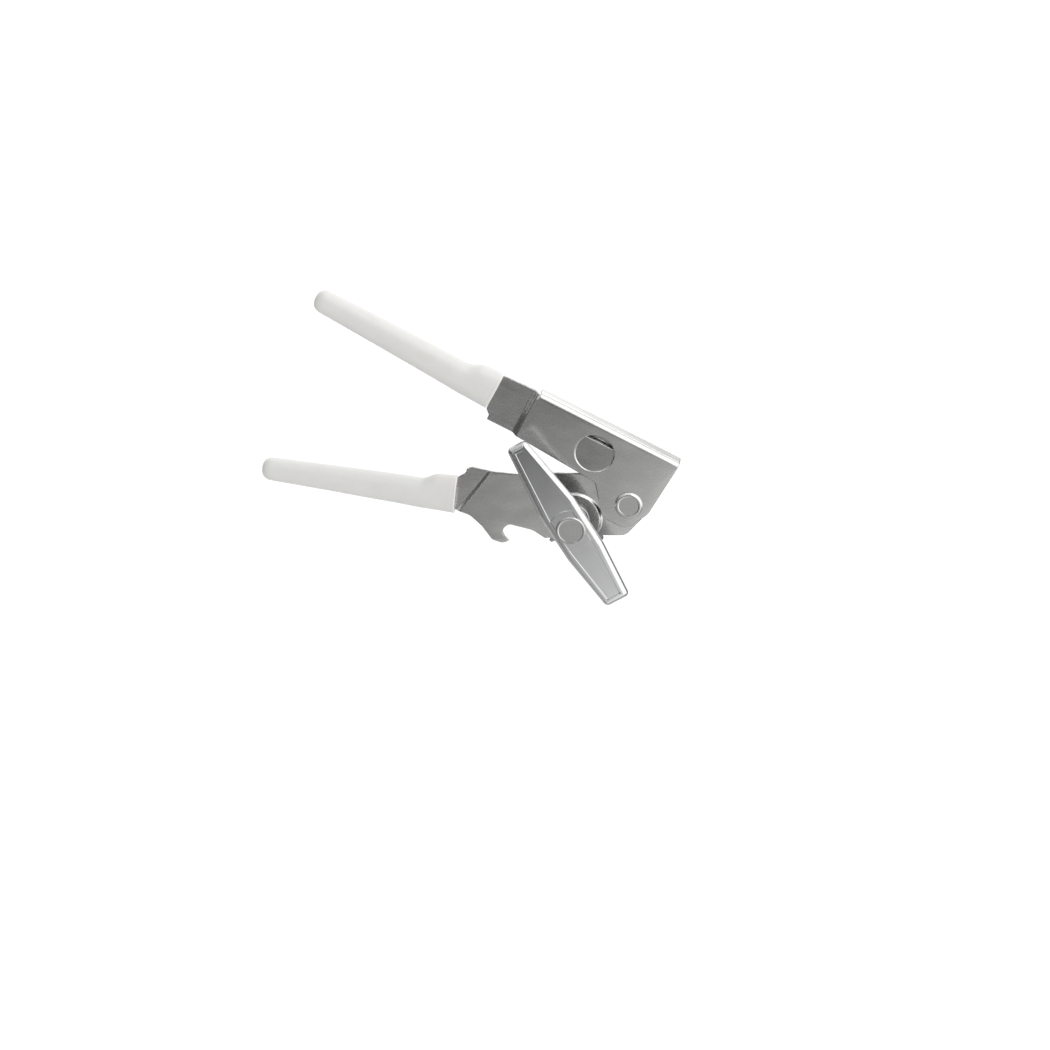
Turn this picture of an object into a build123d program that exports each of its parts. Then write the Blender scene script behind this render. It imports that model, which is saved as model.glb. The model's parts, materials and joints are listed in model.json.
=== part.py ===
from build123d import *
import math
import os

# Hand can opener: two riveted steel handles, a crank that turns a serrated feed wheel,
# and a gear pair that drives the round cutter. Millimetres, +Z up, -Y is the crank side.
# The origin is the nip: on the shaft's centreline, on top of the feed wheel, at the
# cutter's front face. The handles are drawn open, as the opener lies ready on a can.

# ---- sheet metal and stack, front to back -------------------------------------------
SHEET = 1.3                  # thickness of both handle plates
PLATE_GAP = 1.3              # between the two plates, filled by the pivot spacer
THRUST_WASHER = 0.3          # between the lower plate and the feed gear
GEAR_WIDTH = 2.4
FEED_WIDTH = 2.8
NIP_GAP = 0.3                # feed wheel's back to cutter's front
CUTTER_THICK = 1.4
REAR_WASHER = 0.7
REAR_HEAD = 1.2
RIVET_END_DRAFT = 0.8        # taper of a domed-over rivet end
FACE_CLEAR = 0.05            # side play of parts that turn against each other

# ---- gears -----------------------------------------------------------------------------
MODULE = 1.6
FEED_TEETH = 20
CUTTER_TEETH = 14
TIP_HEIGHT = 1.05            # stub teeth: pitch circle to tip
ROOT_DEPTH = 1.4             # pitch circle to root
PRESSURE_ANGLE = 20.0
ROOT_FILLET = 0.35           # height of the sloped foot of each tooth
ROOT_FLARE = 1.2             # degrees that the foot is wider on each side
FLANK_STEPS = 4
BACKLASH = 0.3               # taken off each tooth's width at the pitch circle

# ---- wheels ----------------------------------------------------------------------------
CUTTER_RADIUS = 13.0
RIM_BITE = 1.4               # how far the cutter reaches below the feed wheel's top
BEVEL_WIDTH = 2.6
EDGE_LAND = 0.25             # cylindrical strip left at the cutter's edge
FEED_NOTCHES = 40
NOTCH_DEPTH = 0.7
LAND_SHARE = 0.44            # part of each step left at full radius
HUB_RADIUS = 6.6             # cutter hub, clear above a can's rim

# ---- places of the three centres --------------------------------------------------------
PIVOT_FROM_SHAFT_X = 25.3
PIVOT_FROM_SHAFT_Z = 9.08
STUD_FROM_PIVOT_X = -25.2    # with the head plate level
STUD_FROM_PIVOT_Z = 15.2
REST_TILT = 26.0             # head plate's slope with the handles open at rest

# ---- head plate (drawn level, about the pivot) ------------------------------------------
FLANGE_TOP = 29.3
FLANGE_DEPTH = 7.6
BEND_RADIUS = 2.2
HEAD_RIGHT_TOP = 11.4
HEAD_RIGHT_LOW = 9.8
HEAD_LEFT = -59.4
HEAD_LOW_EDGE_RIGHT = 2.6
HEAD_LOW_EDGE_LEFT = 5.4
LOBE_LOW = -11.5
LOBE_RIGHT = 4.6
LOBE_LEFT = -8.2
LOBE_RADIUS = 6.5
LOBE_CORNER_X = -18.6
JOG_FLAT = 0.6               # plain sheet left of the flange, before the jog
JOG_RUN = 3.4
JOG_RADIUS = 1.2
JOG_SLANT = 0.45             # back face's bends, shifted for an even wall
NECK_END = -77.9
NECK_FALL = 0.9              # neck's top edge, from the flange to the grip
HEEL_RUN = 2.3               # small step where the neck meets the grip
EASED = 0.6                  # corner radius of sheared edges
SEAT_RADIUS = 9.0            # round recess in front of the cutter stud
SEAT_FLOOR_RADIUS = 8.2
SEAT_DEPTH = 1.0
SEAT_LIP = 0.4               # how far the pressed recess stands out round its wall, behind
SLOT_CHORD = 5.3             # straight side of the slot above the recess floor

# ---- lower plate (about the pivot) --------------------------------------------------------
LOWER_TOP_EDGE = 11.6
LOWER_TOP_RIGHT = 13.4       # raised beside the stud's path, clear of it when closed
NECK_CREST_X = -72.7
NECK_CREST_Z = 13.9
SHAFT_LOBE = 15.0
BOSS_RADIUS = 13.2
BOSS_TOP_RADIUS = 11.6
BOSS_HEIGHT = 0.95
NECK_JOG = 0.7               # the neck lies this far behind the wall
NECK_JOG_RUN = 2.2
NECK_BEND_X = -71.5          # a point on the bend between wall and neck
NECK_BEND_Z = 2.2
NECK_BEND_LEAN = 36.0        # the bend's slope from upright
SHEET_REACH = 130.0          # half size of the sheet that the plate is cut from
HOOK_X = -58.6
HOOK_Z = -23.3
NOTCH_TOP_Z = -13.8

# ---- pivot rivet ---------------------------------------------------------------------------
PIVOT_SHANK = 3.6
PIVOT_HEAD = 6.4
PIVOT_HEAD_TOP = 5.3
PIVOT_HEAD_HEIGHT = 1.3
SPACER_RADIUS = 7.5
RUNNING_CLEAR = 0.05         # radial, shafts in their holes

# ---- cutter stud ---------------------------------------------------------------------------
STUD_RADIUS = 3.2
STUD_BASE_RADIUS = 4.0
STUD_HEAD_RADIUS = 5.0       # rear heads of the stud and of the pivot rivet
CUTTER_THRUST_RADIUS = 6.4
REAR_WASHER_RADIUS = 6.2

# ---- crank and shaft -----------------------------------------------------------------------
CRANK_STANDOFF = 11.5        # head plate's front face to the crank's front face
CRANK_SHEET = 1.3
CRANK_DEPTH = 3.0
CRANK_ANGLE = 122.2          # direction of the long paddle, from +X
LONG_PADDLE = 47.6
SHORT_PADDLE = 41.0
CRANK_HALF_WIDTH = 9.4
LONG_TIP_HALF = 4.9
SHORT_TIP_HALF = 6.2
CRANK_WAIST = 12.5           # half length of the crank's full-width middle
CRANK_CORNER = 2.2
CRANK_ROUND = 1.25           # front edge
SHOULDER_RADIUS = 12.0
PANEL_INSET = 3.3            # sunken panels, in from the tips and sides
PANEL_FROM_HUB = 5.5         # shaft head's edge to the panels
PANEL_FLARE = 0.7            # how much less the panels taper than the paddles
PANEL_CORNER = 1.0
PANEL_DEPTH = 0.35
SHAFT_RADIUS = 3.5
SHAFT_HEAD_RADIUS = 6.9
SHAFT_HEAD_HEIGHT = 0.6
SHAFT_HEAD_DRAFT = 0.4
COLLAR_RADIUS = 5.6
BUSH_RADIUS = 5.2
BUSH_FLANGE_RADIUS = 7.2
BUSH_FLANGE = 0.5
CRANK_WASHER = 0.5
SHAFT_END_RADIUS = 5.2
THRUST_RADIUS = 7.8          # washer between the lower plate and the feed gear

# ---- grips ------------------------------------------------------------------------------------
GRIP_LENGTH = 91.0
GRIP_END_HALF = 9.2
GRIP_TIP_HALF = 5.2
GRIP_DEPTH = 10.0
GRIP_TIP_DEPTH = 8.4
COLLAR_LENGTH = 10.0
COLLAR_FALL = 0.7            # slope of the collar's top over its length
DIP_STATION = 15.5
DIP_TOP = 5.6
DIP_BOTTOM = 0.6             # underside's rise at the dip
MIDDLE_BOTTOM = -6.7
GRIP_CORNER = 0.42           # corner radius, as a share of the section's smaller side
GRIP_END_ROUND = 1.6         # how far the tip is drawn in
TANG_LENGTH = 80.0
TANG_TOP = 4.4               # tang at the neck, about the grip's centre line
TANG_BOTTOM = -6.4
TANG_WALL = 2.4              # grip wall around the tang's tip
UPPER_GRIP_Z = 19.4          # metal end's centre, about the pivot, plate level
UPPER_GRIP_SLOPE = 1.1
LOWER_GRIP_X = -80.0
LOWER_GRIP_Z = -0.5
LOWER_GRIP_SLOPE = 5.5
WALL_CLEAR = 0.02            # tang in its grip
END_CLEAR = 0.1              # neck's end to its grip

# ---- worked out from the sizes above --------------------------------------------------------
cutter_front = 0.0
feed_back = cutter_front - NIP_GAP
gear_back = feed_back - FEED_WIDTH
gear_front = gear_back - GEAR_WIDTH
lower_back = gear_front - THRUST_WASHER - FACE_CLEAR
lower_front = lower_back - SHEET
head_back = lower_front - PLATE_GAP
head_front = head_back - SHEET
seat_back = head_back + SEAT_DEPTH
crank_front = head_front - CRANK_STANDOFF
crank_inner = crank_front + CRANK_SHEET
boss_front = lower_front - BOSS_HEIGHT
bush_front = boss_front - BUSH_FLANGE
cutter_back = cutter_front + CUTTER_THICK

feed_pitch = MODULE * FEED_TEETH / 2
cutter_pitch = MODULE * CUTTER_TEETH / 2
centre_distance = feed_pitch + cutter_pitch
feed_radius = centre_distance - CUTTER_RADIUS + RIM_BITE

shaft = (0.0, -feed_radius)
pivot = (shaft[0] + PIVOT_FROM_SHAFT_X, shaft[1] + PIVOT_FROM_SHAFT_Z)
stud_arm = math.hypot(STUD_FROM_PIVOT_X, STUD_FROM_PIVOT_Z)
shaft_arm = math.hypot(PIVOT_FROM_SHAFT_X, PIVOT_FROM_SHAFT_Z)
stud_level_angle = math.degrees(math.atan2(STUD_FROM_PIVOT_Z, STUD_FROM_PIVOT_X))
stud_rest_angle = stud_level_angle - REST_TILT
shaft_direction = 180 + math.degrees(math.atan2(PIVOT_FROM_SHAFT_Z, PIVOT_FROM_SHAFT_X))
mesh_cosine = (stud_arm**2 + shaft_arm**2 - centre_distance**2) / (2 * stud_arm * shaft_arm)
stud_closed_angle = shaft_direction - math.degrees(math.acos(mesh_cosine))
closing_travel = stud_closed_angle - stud_rest_angle


def polar(centre, radius, angle):
    """Point at a radius and an angle in degrees from +X towards +Z."""
    return (
        centre[0] + radius * math.cos(math.radians(angle)),
        centre[1] + radius * math.sin(math.radians(angle)),
    )


stud_rest = polar(pivot, stud_arm, stud_rest_angle)
stud_closed = polar(pivot, stud_arm, stud_closed_angle)


def slab(outline, front, back):
    """Solid from a closed outline in XZ, from y = front to y = back."""
    face = make_face(outline)
    plane = Plane((0, back, 0), x_dir=(1, 0, 0), z_dir=(0, -1, 0))
    return extrude(plane * face, back - front)


def polygon(points, radii=0):
    return FilletPolyline(*points, radius=radii, close=True)


def disc(centre, radius, front, back):
    return frustum(centre, radius, radius, front, back)


def frustum(centre, front_radius, back_radius, front, back):
    """Round solid along Y whose radius may differ at its two ends."""
    plane = Plane((centre[0], back, centre[1]), x_dir=(1, 0, 0), z_dir=(0, -1, 0))
    length = back - front
    if abs(front_radius - back_radius) < 1e-6:
        return plane * Cylinder(back_radius, length, align=(Align.CENTER, Align.CENTER, Align.MIN))
    return plane * Cone(
        back_radius, front_radius, length, align=(Align.CENTER, Align.CENTER, Align.MIN)
    )


def ring(centre, outer, inner, front, back):
    return disc(centre, outer, front, back) - disc(centre, inner, front, back)


def about_pivot(shape, angle=0.0):
    """Moves a shape drawn about the pivot to its place, turned by an angle (+ closes)."""
    turned = Rot(0, -angle, 0) * shape
    return Pos(pivot[0], 0, pivot[1]) * turned


# ---- grips -----------------------------------------------------------------------------------
def grip_section(station, top, bottom, depth):
    """Rounded section across a grip, at a distance along it."""
    plane = Plane((-station, 0, (top + bottom) / 2), x_dir=(0, 1, 0), z_dir=(-1, 0, 0))
    corner = min(depth, top - bottom) * GRIP_CORNER
    return plane * RectangleRounded(depth, top - bottom, corner)


def grip_body():
    """Bulged collar at the neck, a dip behind it on top, then a long taper to the tip."""
    dip_bottom = DIP_BOTTOM - GRIP_END_HALF
    middle = (DIP_STATION + GRIP_LENGTH) / 2
    middle_depth = (GRIP_DEPTH + GRIP_TIP_DEPTH) / 2
    tip_half = GRIP_TIP_HALF - GRIP_END_ROUND
    tip_start = GRIP_LENGTH - 2 * GRIP_END_ROUND
    sections = [
        grip_section(0, GRIP_END_HALF, -GRIP_END_HALF, GRIP_DEPTH),
        grip_section(COLLAR_LENGTH, GRIP_END_HALF - COLLAR_FALL, dip_bottom, GRIP_DEPTH),
        grip_section(DIP_STATION, DIP_TOP, dip_bottom, GRIP_DEPTH),
        grip_section(middle, DIP_TOP, MIDDLE_BOTTOM, middle_depth),
        grip_section(tip_start, GRIP_TIP_HALF, -GRIP_TIP_HALF, GRIP_TIP_DEPTH),
        grip_section(GRIP_LENGTH, tip_half, -tip_half, GRIP_TIP_DEPTH - 2 * GRIP_END_ROUND),
    ]
    return loft([section.face() for section in sections], ruled=True)


def tang(clearance=0.0):
    """Tang inside a grip, tapering from the neck to the tip, in the grip's own place."""
    tip_half = GRIP_TIP_HALF - TANG_WALL + clearance
    top = TANG_TOP + clearance
    bottom = TANG_BOTTOM - clearance
    reach = TANG_LENGTH + clearance
    root = END_CLEAR + SHEET
    outline = polygon([(root, top), (root, bottom), (-reach, -tip_half), (-reach, tip_half)])
    half = SHEET / 2 + clearance
    return slab(outline, -half, half)


def grip_place(x, z, slope, y_middle):
    return Pos(x, y_middle, z) * Rot(0, slope, 0)


def make_grip():
    return grip_body() - tang(WALL_CLEAR)


# ---- upper handle ----------------------------------------------------------------------------
neck_middle = (lower_front + lower_back) / 2
upper_grip_x = NECK_END - END_CLEAR - GRIP_END_HALF * math.tan(math.radians(UPPER_GRIP_SLOPE))
upper_grip_place = grip_place(upper_grip_x, UPPER_GRIP_Z, UPPER_GRIP_SLOPE, neck_middle)


def head_outline():
    """Head plate and neck, level, about the pivot."""
    heel_x = NECK_END + HEEL_RUN
    points = [
        (HEAD_RIGHT_TOP, FLANGE_TOP),
        (HEAD_RIGHT_LOW, 0.0),
        (LOBE_RIGHT, LOBE_LOW),
        (LOBE_LEFT, LOBE_LOW),
        (LOBE_CORNER_X, HEAD_LOW_EDGE_RIGHT),
        (HEAD_LEFT, HEAD_LOW_EDGE_LEFT),
        (heel_x, HEAD_LOW_EDGE_LEFT),
        (heel_x, HEAD_LOW_EDGE_LEFT + HEEL_RUN),
        (NECK_END, HEAD_LOW_EDGE_LEFT + 2 * HEEL_RUN),
        (NECK_END, FLANGE_TOP - NECK_FALL),
        (HEAD_LEFT, FLANGE_TOP),
    ]
    radii = [EASED, 9.0, LOBE_RADIUS, LOBE_RADIUS, 1.6, 0, EASED, EASED, EASED, EASED, 0]
    return polygon(points, radii)


def head_profile():
    """Front wall and top flange seen end on, bent from one sheet."""
    low = LOBE_LOW - SHEET
    points = [
        (head_front, low),
        (head_front, FLANGE_TOP),
        (head_front + FLANGE_DEPTH, FLANGE_TOP),
        (head_front + FLANGE_DEPTH, FLANGE_TOP - SHEET),
        (head_back, FLANGE_TOP - SHEET),
        (head_back, low),
    ]
    inner = BEND_RADIUS - SHEET
    edge = SHEET / 4
    face = make_face(polygon(points, [0, BEND_RADIUS, edge, edge, inner, 0]))
    length = HEAD_RIGHT_TOP + SHEET - HEAD_LEFT
    plane = Plane((HEAD_LEFT, 0, 0), x_dir=(0, 1, 0), z_dir=(1, 0, 0))
    return extrude(plane * face, length)


def neck_profile():
    """Jog from the head plate back to the neck, seen from above."""
    left = NECK_END - SHEET
    jog_start = HEAD_LEFT - JOG_FLAT
    jog_end = HEAD_LEFT - JOG_RUN
    points = [
        (HEAD_LEFT, head_front),
        (jog_start, head_front),
        (jog_end, lower_front),
        (left, lower_front),
        (left, lower_back),
        (jog_end - JOG_SLANT, lower_back),
        (jog_start - JOG_SLANT, head_back),
        (HEAD_LEFT, head_back),
    ]
    inner = JOG_RADIUS / 3
    face = make_face(polygon(points, [0, 0, JOG_RADIUS, 0, 0, inner, inner, 0]))
    return extrude(Plane.XY.offset(LOBE_LOW) * face, FLANGE_TOP - LOBE_LOW)


def seat_slot(stud):
    """Slot between the recess floor's straight top and its round wall."""
    opening = disc(stud, SEAT_FLOOR_RADIUS, head_front, seat_back)
    left, right = stud[0] - SEAT_RADIUS, stud[0] + SEAT_RADIUS
    low, high = stud[1] - SEAT_RADIUS, stud[1] + SLOT_CHORD
    floor = polygon([(left, low), (right, low), (right, high), (left, high)])
    return opening - slab(floor, head_front, seat_back)


def make_upper_plate():
    prism = slab(head_outline(), head_front, head_front + FLANGE_DEPTH)
    plate = (head_profile() & prism) + (neck_profile() & prism)
    stud = (STUD_FROM_PIVOT_X, STUD_FROM_PIVOT_Z)
    plate += disc(stud, SEAT_RADIUS + SEAT_LIP, head_front + SHEET / 2, seat_back)
    plate -= frustum(stud, SEAT_RADIUS, SEAT_FLOOR_RADIUS, head_front, head_front + SEAT_DEPTH)
    plate -= seat_slot(stud)
    plate -= disc((0, 0), PIVOT_SHANK, head_front, head_back)
    plate += upper_grip_place * tang()
    return about_pivot(plate, -REST_TILT)


def make_upper_grip():
    return about_pivot(upper_grip_place * make_grip(), -REST_TILT)


# ---- lower handle ----------------------------------------------------------------------------
def neck_end_point(height):
    """Point on the lower neck's end, square to its grip."""
    lean = math.tan(math.radians(LOWER_GRIP_SLOPE))
    return (LOWER_GRIP_X + END_CLEAR + (height - LOWER_GRIP_Z) * lean, height)


def lower_outline():
    """Lower plate about the pivot, with the cap lifter's hook on its underside."""
    corners = [
        (NECK_CREST_X - 2.3, NECK_CREST_Z - 1.2, 1.6),
        (NECK_CREST_X, NECK_CREST_Z, 2.6),
        (NECK_CREST_X + 7.5, LOWER_TOP_EDGE + 0.9, 9.0),
        (-50.0, LOWER_TOP_EDGE, 20.0),
        (-33.0, LOWER_TOP_RIGHT, 20.0),
        (-12.0, LOWER_TOP_RIGHT, 6.0),
        (6.5, 8.2, 7.0),
        (8.6, -4.6, 4.0),
        (-1.4, -16.4, 5.0),
        (-11.5, -17.0, 4.0),
        (-38.8, -19.9, 5.0),
        (-44.5, -16.2, 7.0),
        (-55.6, NOTCH_TOP_Z, 2.6),
        (-58.9, -17.0, 2.6),
        (-57.4, -19.9, 0.9),
        (-55.2, -22.2, 0.5),
        (HOOK_X, HOOK_Z - 0.2, 3.2),
        (-63.4, -22.0, 2.6),
        (-68.0, -15.6, 8.0),
        (-73.6, -10.3, 8.0),
        (*neck_end_point(-7.9), 0),
        (*neck_end_point(8.3), 0),
        (NECK_CREST_X - 2.7, 10.8, 1.6),
    ]
    return polygon([(x, z) for x, z, radius in corners], [radius for x, z, radius in corners])


def lower_sheet():
    """Sheet with its shallow slanting jog, before the outline is cut."""
    bend = NECK_JOG_RUN / 2
    points = [
        (SHEET_REACH, lower_front),
        (SHEET_REACH, lower_back),
        (bend, lower_back),
        (-bend, lower_back + NECK_JOG),
        (-SHEET_REACH, lower_back + NECK_JOG),
        (-SHEET_REACH, lower_front + NECK_JOG),
        (-bend, lower_front + NECK_JOG),
        (bend, lower_front),
    ]
    sheet = extrude(Plane.XY.offset(-SHEET_REACH) * make_face(polygon(points)), 2 * SHEET_REACH)
    return Pos(NECK_BEND_X, 0, NECK_BEND_Z) * Rot(0, NECK_BEND_LEAN, 0) * sheet


shaft_from_pivot = (-PIVOT_FROM_SHAFT_X, -PIVOT_FROM_SHAFT_Z)
lower_grip_place = grip_place(LOWER_GRIP_X, LOWER_GRIP_Z, LOWER_GRIP_SLOPE, neck_middle + NECK_JOG)


def make_lower_plate():
    plate = lower_sheet() & slab(lower_outline(), lower_front, lower_back + NECK_JOG)
    plate += disc(shaft_from_pivot, SHAFT_LOBE, lower_front, lower_back)
    plate += frustum(shaft_from_pivot, BOSS_TOP_RADIUS, BOSS_RADIUS, boss_front, lower_front)
    plate -= disc(shaft_from_pivot, BUSH_RADIUS, boss_front, lower_back)
    plate -= disc((0, 0), PIVOT_SHANK + RUNNING_CLEAR, lower_front, lower_back)
    plate += lower_grip_place * tang()
    return about_pivot(plate)


def make_lower_grip():
    return about_pivot(lower_grip_place * make_grip())


# ---- pivot -----------------------------------------------------------------------------------
pivot_rear_front = lower_back + FACE_CLEAR


def rivet_end(centre, radius, front):
    """Domed-over end of a rivet, behind its washer."""
    return frustum(centre, radius, radius - RIVET_END_DRAFT, front, front + REAR_HEAD)


def make_pivot_spacer():
    return ring(pivot, SPACER_RADIUS, PIVOT_SHANK, head_back, lower_front - FACE_CLEAR)


def make_pivot_rear_washer():
    rear = pivot_rear_front + REAR_WASHER
    return ring(pivot, SPACER_RADIUS, PIVOT_SHANK, pivot_rear_front, rear)


def make_pivot_rivet():
    rear = pivot_rear_front + REAR_WASHER
    rivet = disc(pivot, PIVOT_SHANK, head_front, rear)
    rivet += frustum(pivot, PIVOT_HEAD_TOP, PIVOT_HEAD, head_front - PIVOT_HEAD_HEIGHT, head_front)
    rivet += rivet_end(pivot, STUD_HEAD_RADIUS, rear)
    return rivet


# ---- gears and wheels ------------------------------------------------------------------------
def involute(angle):
    return math.tan(angle) - angle


def gear_outline(centre, teeth, first_tooth):
    """Spur gear with involute flanks; one tooth points along the angle first_tooth."""
    pitch = MODULE * teeth / 2
    pressure = math.radians(PRESSURE_ANGLE)
    base = pitch * math.cos(pressure)
    half_pitch_tooth = math.pi / (2 * teeth) - BACKLASH / (2 * pitch)

    def half_angle(radius):
        local = math.acos(min(1.0, base / radius))
        return math.degrees(half_pitch_tooth + involute(pressure) - involute(local))

    root = pitch - ROOT_DEPTH
    tip = pitch + TIP_HEIGHT
    start = max(root + ROOT_FILLET, base)
    radii = [start + (tip - start) * step / FLANK_STEPS for step in range(FLANK_STEPS + 1)]
    points = []
    for tooth in range(teeth):
        middle = first_tooth + 360 * tooth / teeth
        points.append(polar(centre, root, middle - half_angle(start) - ROOT_FLARE))
        points += [polar(centre, radius, middle - half_angle(radius)) for radius in radii]
        points += [polar(centre, radius, middle + half_angle(radius)) for radius in reversed(radii)]
        points.append(polar(centre, root, middle + half_angle(start) + ROOT_FLARE))
    return Polyline(*points, close=True)


mesh_direction = math.degrees(
    math.atan2(stud_closed[1] - shaft[1], stud_closed[0] - shaft[0])
)


def make_feed_gear():
    blank = slab(gear_outline(shaft, FEED_TEETH, mesh_direction), gear_front, gear_back)
    return blank - disc(shaft, SHAFT_RADIUS, gear_front, gear_back)


def make_cutter_gear():
    """Its gap faces the feed gear's tooth when the handles are closed."""
    gap = mesh_direction + 180 - closing_travel
    first_tooth = gap + 180 / CUTTER_TEETH
    blank = slab(gear_outline(stud_rest, CUTTER_TEETH, first_tooth), gear_front, gear_back)
    return blank - disc(stud_rest, STUD_RADIUS + RUNNING_CLEAR, gear_front, gear_back)


def make_cutter_hub():
    return ring(stud_rest, HUB_RADIUS, STUD_RADIUS + RUNNING_CLEAR, gear_back, cutter_front)


def make_cutter_wheel():
    """Flat in front, ground to its edge on the back."""
    flat = cutter_front + EDGE_LAND
    wheel = disc(stud_rest, CUTTER_RADIUS, cutter_front, flat)
    wheel += frustum(stud_rest, CUTTER_RADIUS, CUTTER_RADIUS - BEVEL_WIDTH, flat, cutter_back)
    return wheel - disc(stud_rest, STUD_RADIUS + RUNNING_CLEAR, cutter_front, cutter_back)


def feed_outline():
    points = []
    step = 360 / FEED_NOTCHES
    half_land = LAND_SHARE * step / 2
    for notch in range(FEED_NOTCHES):
        angle = 90 + notch * step
        points.append(polar(shaft, feed_radius, angle - half_land))
        points.append(polar(shaft, feed_radius, angle + half_land))
        points.append(polar(shaft, feed_radius - NOTCH_DEPTH, angle + step / 2))
    return Polyline(*points, close=True)


def make_feed_wheel():
    wheel = slab(feed_outline(), gear_back, feed_back)
    return wheel - disc(shaft, SHAFT_RADIUS, gear_back, feed_back)


# ---- cutter stud -----------------------------------------------------------------------------
def make_cutter_stud():
    rear = cutter_back + FACE_CLEAR + REAR_WASHER
    stud = disc(stud_rest, STUD_BASE_RADIUS, seat_back, gear_front - FACE_CLEAR - THRUST_WASHER)
    stud += disc(stud_rest, STUD_RADIUS, seat_back, rear)
    stud += rivet_end(stud_rest, STUD_HEAD_RADIUS, rear)
    return stud


def make_cutter_thrust_washer():
    back = gear_front - FACE_CLEAR
    return ring(stud_rest, CUTTER_THRUST_RADIUS, STUD_RADIUS, back - THRUST_WASHER, back)


def make_cutter_rear_washer():
    front = cutter_back + FACE_CLEAR
    return ring(stud_rest, REAR_WASHER_RADIUS, STUD_RADIUS, front, front + REAR_WASHER)


# ---- crank and shaft -------------------------------------------------------------------------
def crank_outline(inset=0.0):
    """Key with a long narrow paddle and a short wide one, the long one along +X."""
    long_end = LONG_PADDLE - inset
    short_end = -SHORT_PADDLE + inset
    half = CRANK_HALF_WIDTH - inset
    points = [
        (long_end, LONG_TIP_HALF - inset),
        (CRANK_WAIST, half),
        (-CRANK_WAIST, half),
        (short_end, SHORT_TIP_HALF - inset),
        (short_end, -SHORT_TIP_HALF + inset),
        (-CRANK_WAIST, -half),
        (CRANK_WAIST, -half),
        (long_end, -LONG_TIP_HALF + inset),
    ]
    corner = CRANK_CORNER - inset
    waist = SHOULDER_RADIUS
    return polygon(points, [corner, waist, waist, corner, corner, waist, waist, corner])


def crank_panel(side, length, tip_half):
    """Sunken panel on one paddle; side is 1 for the long one and -1 for the short one."""
    start = side * (SHAFT_HEAD_RADIUS + PANEL_FROM_HUB)
    end = side * (length - PANEL_INSET)
    root = CRANK_HALF_WIDTH - PANEL_INSET
    tip = tip_half - PANEL_INSET + PANEL_FLARE
    outline = polygon([(start, -root), (end, -tip), (end, tip), (start, root)], PANEL_CORNER)
    return slab(outline, crank_front, crank_front + PANEL_DEPTH)


def make_crank():
    """Deep-drawn pan, open behind, with a sunken panel on each paddle."""
    back = crank_front + CRANK_DEPTH
    pan = slab(crank_outline(), crank_front, back)
    front_edges = pan.edges().filter_by_position(Axis.Y, crank_front, crank_front)
    pan = fillet(front_edges, CRANK_ROUND)
    pan -= slab(crank_outline(CRANK_SHEET), crank_inner, back)
    pan -= crank_panel(1, LONG_PADDLE, LONG_TIP_HALF)
    pan -= crank_panel(-1, SHORT_PADDLE, SHORT_TIP_HALF)
    pan -= disc((0, 0), SHAFT_RADIUS, crank_front, back)
    return Pos(shaft[0], 0, shaft[1]) * Rot(0, -CRANK_ANGLE, 0) * pan


def make_crank_collar():
    front = crank_inner + CRANK_WASHER
    return ring(shaft, COLLAR_RADIUS, SHAFT_RADIUS, front, bush_front - FACE_CLEAR)


def make_crank_washer():
    return ring(shaft, BUSH_FLANGE_RADIUS, SHAFT_RADIUS, crank_inner, crank_inner + CRANK_WASHER)


def make_shaft():
    head = crank_front - SHAFT_HEAD_HEIGHT
    body = disc(shaft, SHAFT_RADIUS, crank_front, feed_back)
    body += frustum(shaft, SHAFT_HEAD_RADIUS - SHAFT_HEAD_DRAFT, SHAFT_HEAD_RADIUS, head, crank_front)
    body += rivet_end(shaft, SHAFT_END_RADIUS, feed_back)
    return body


def make_shaft_bushing():
    bush = disc(shaft, BUSH_RADIUS, boss_front, lower_back)
    bush += disc(shaft, BUSH_FLANGE_RADIUS, bush_front, boss_front)
    return bush - disc(shaft, SHAFT_RADIUS + RUNNING_CLEAR, bush_front, lower_back)


def make_feed_thrust_washer():
    bore = SHAFT_RADIUS + RUNNING_CLEAR
    return ring(shaft, THRUST_RADIUS, bore, lower_back, lower_back + THRUST_WASHER)


PIECES = {
    "upper_handle_plate": make_upper_plate,
    "upper_grip": make_upper_grip,
    "lower_handle_plate": make_lower_plate,
    "lower_grip": make_lower_grip,
    "pivot_rivet": make_pivot_rivet,
    "pivot_spacer": make_pivot_spacer,
    "pivot_rear_washer": make_pivot_rear_washer,
    "cutter_stud": make_cutter_stud,
    "cutter_thrust_washer": make_cutter_thrust_washer,
    "cutter_gear": make_cutter_gear,
    "cutter_hub": make_cutter_hub,
    "cutter_wheel": make_cutter_wheel,
    "cutter_rear_washer": make_cutter_rear_washer,
    "crank_handle": make_crank,
    "crank_washer": make_crank_washer,
    "crank_collar": make_crank_collar,
    "drive_shaft": make_shaft,
    "shaft_bushing": make_shaft_bushing,
    "feed_thrust_washer": make_feed_thrust_washer,
    "feed_gear": make_feed_gear,
    "feed_wheel": make_feed_wheel,
}

os.makedirs("parts", exist_ok=True)
for name, build in PIECES.items():
    solid = build()
    export_step(solid, f"parts/{name}.step")
    print(name, len(solid.solids()), round(solid.volume, 1))
print("pivot", pivot, "stud at rest", stud_rest, "closing travel", round(closing_travel, 3))
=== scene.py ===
"""Hand can opener: steel handles, chromed crank, gears, cutter and grips around a fixed frame."""

import cmath
import json
import math

import bmesh
import bpy
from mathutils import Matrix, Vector, noise
from mathutils.geometry import tessellate_polygon


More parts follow.
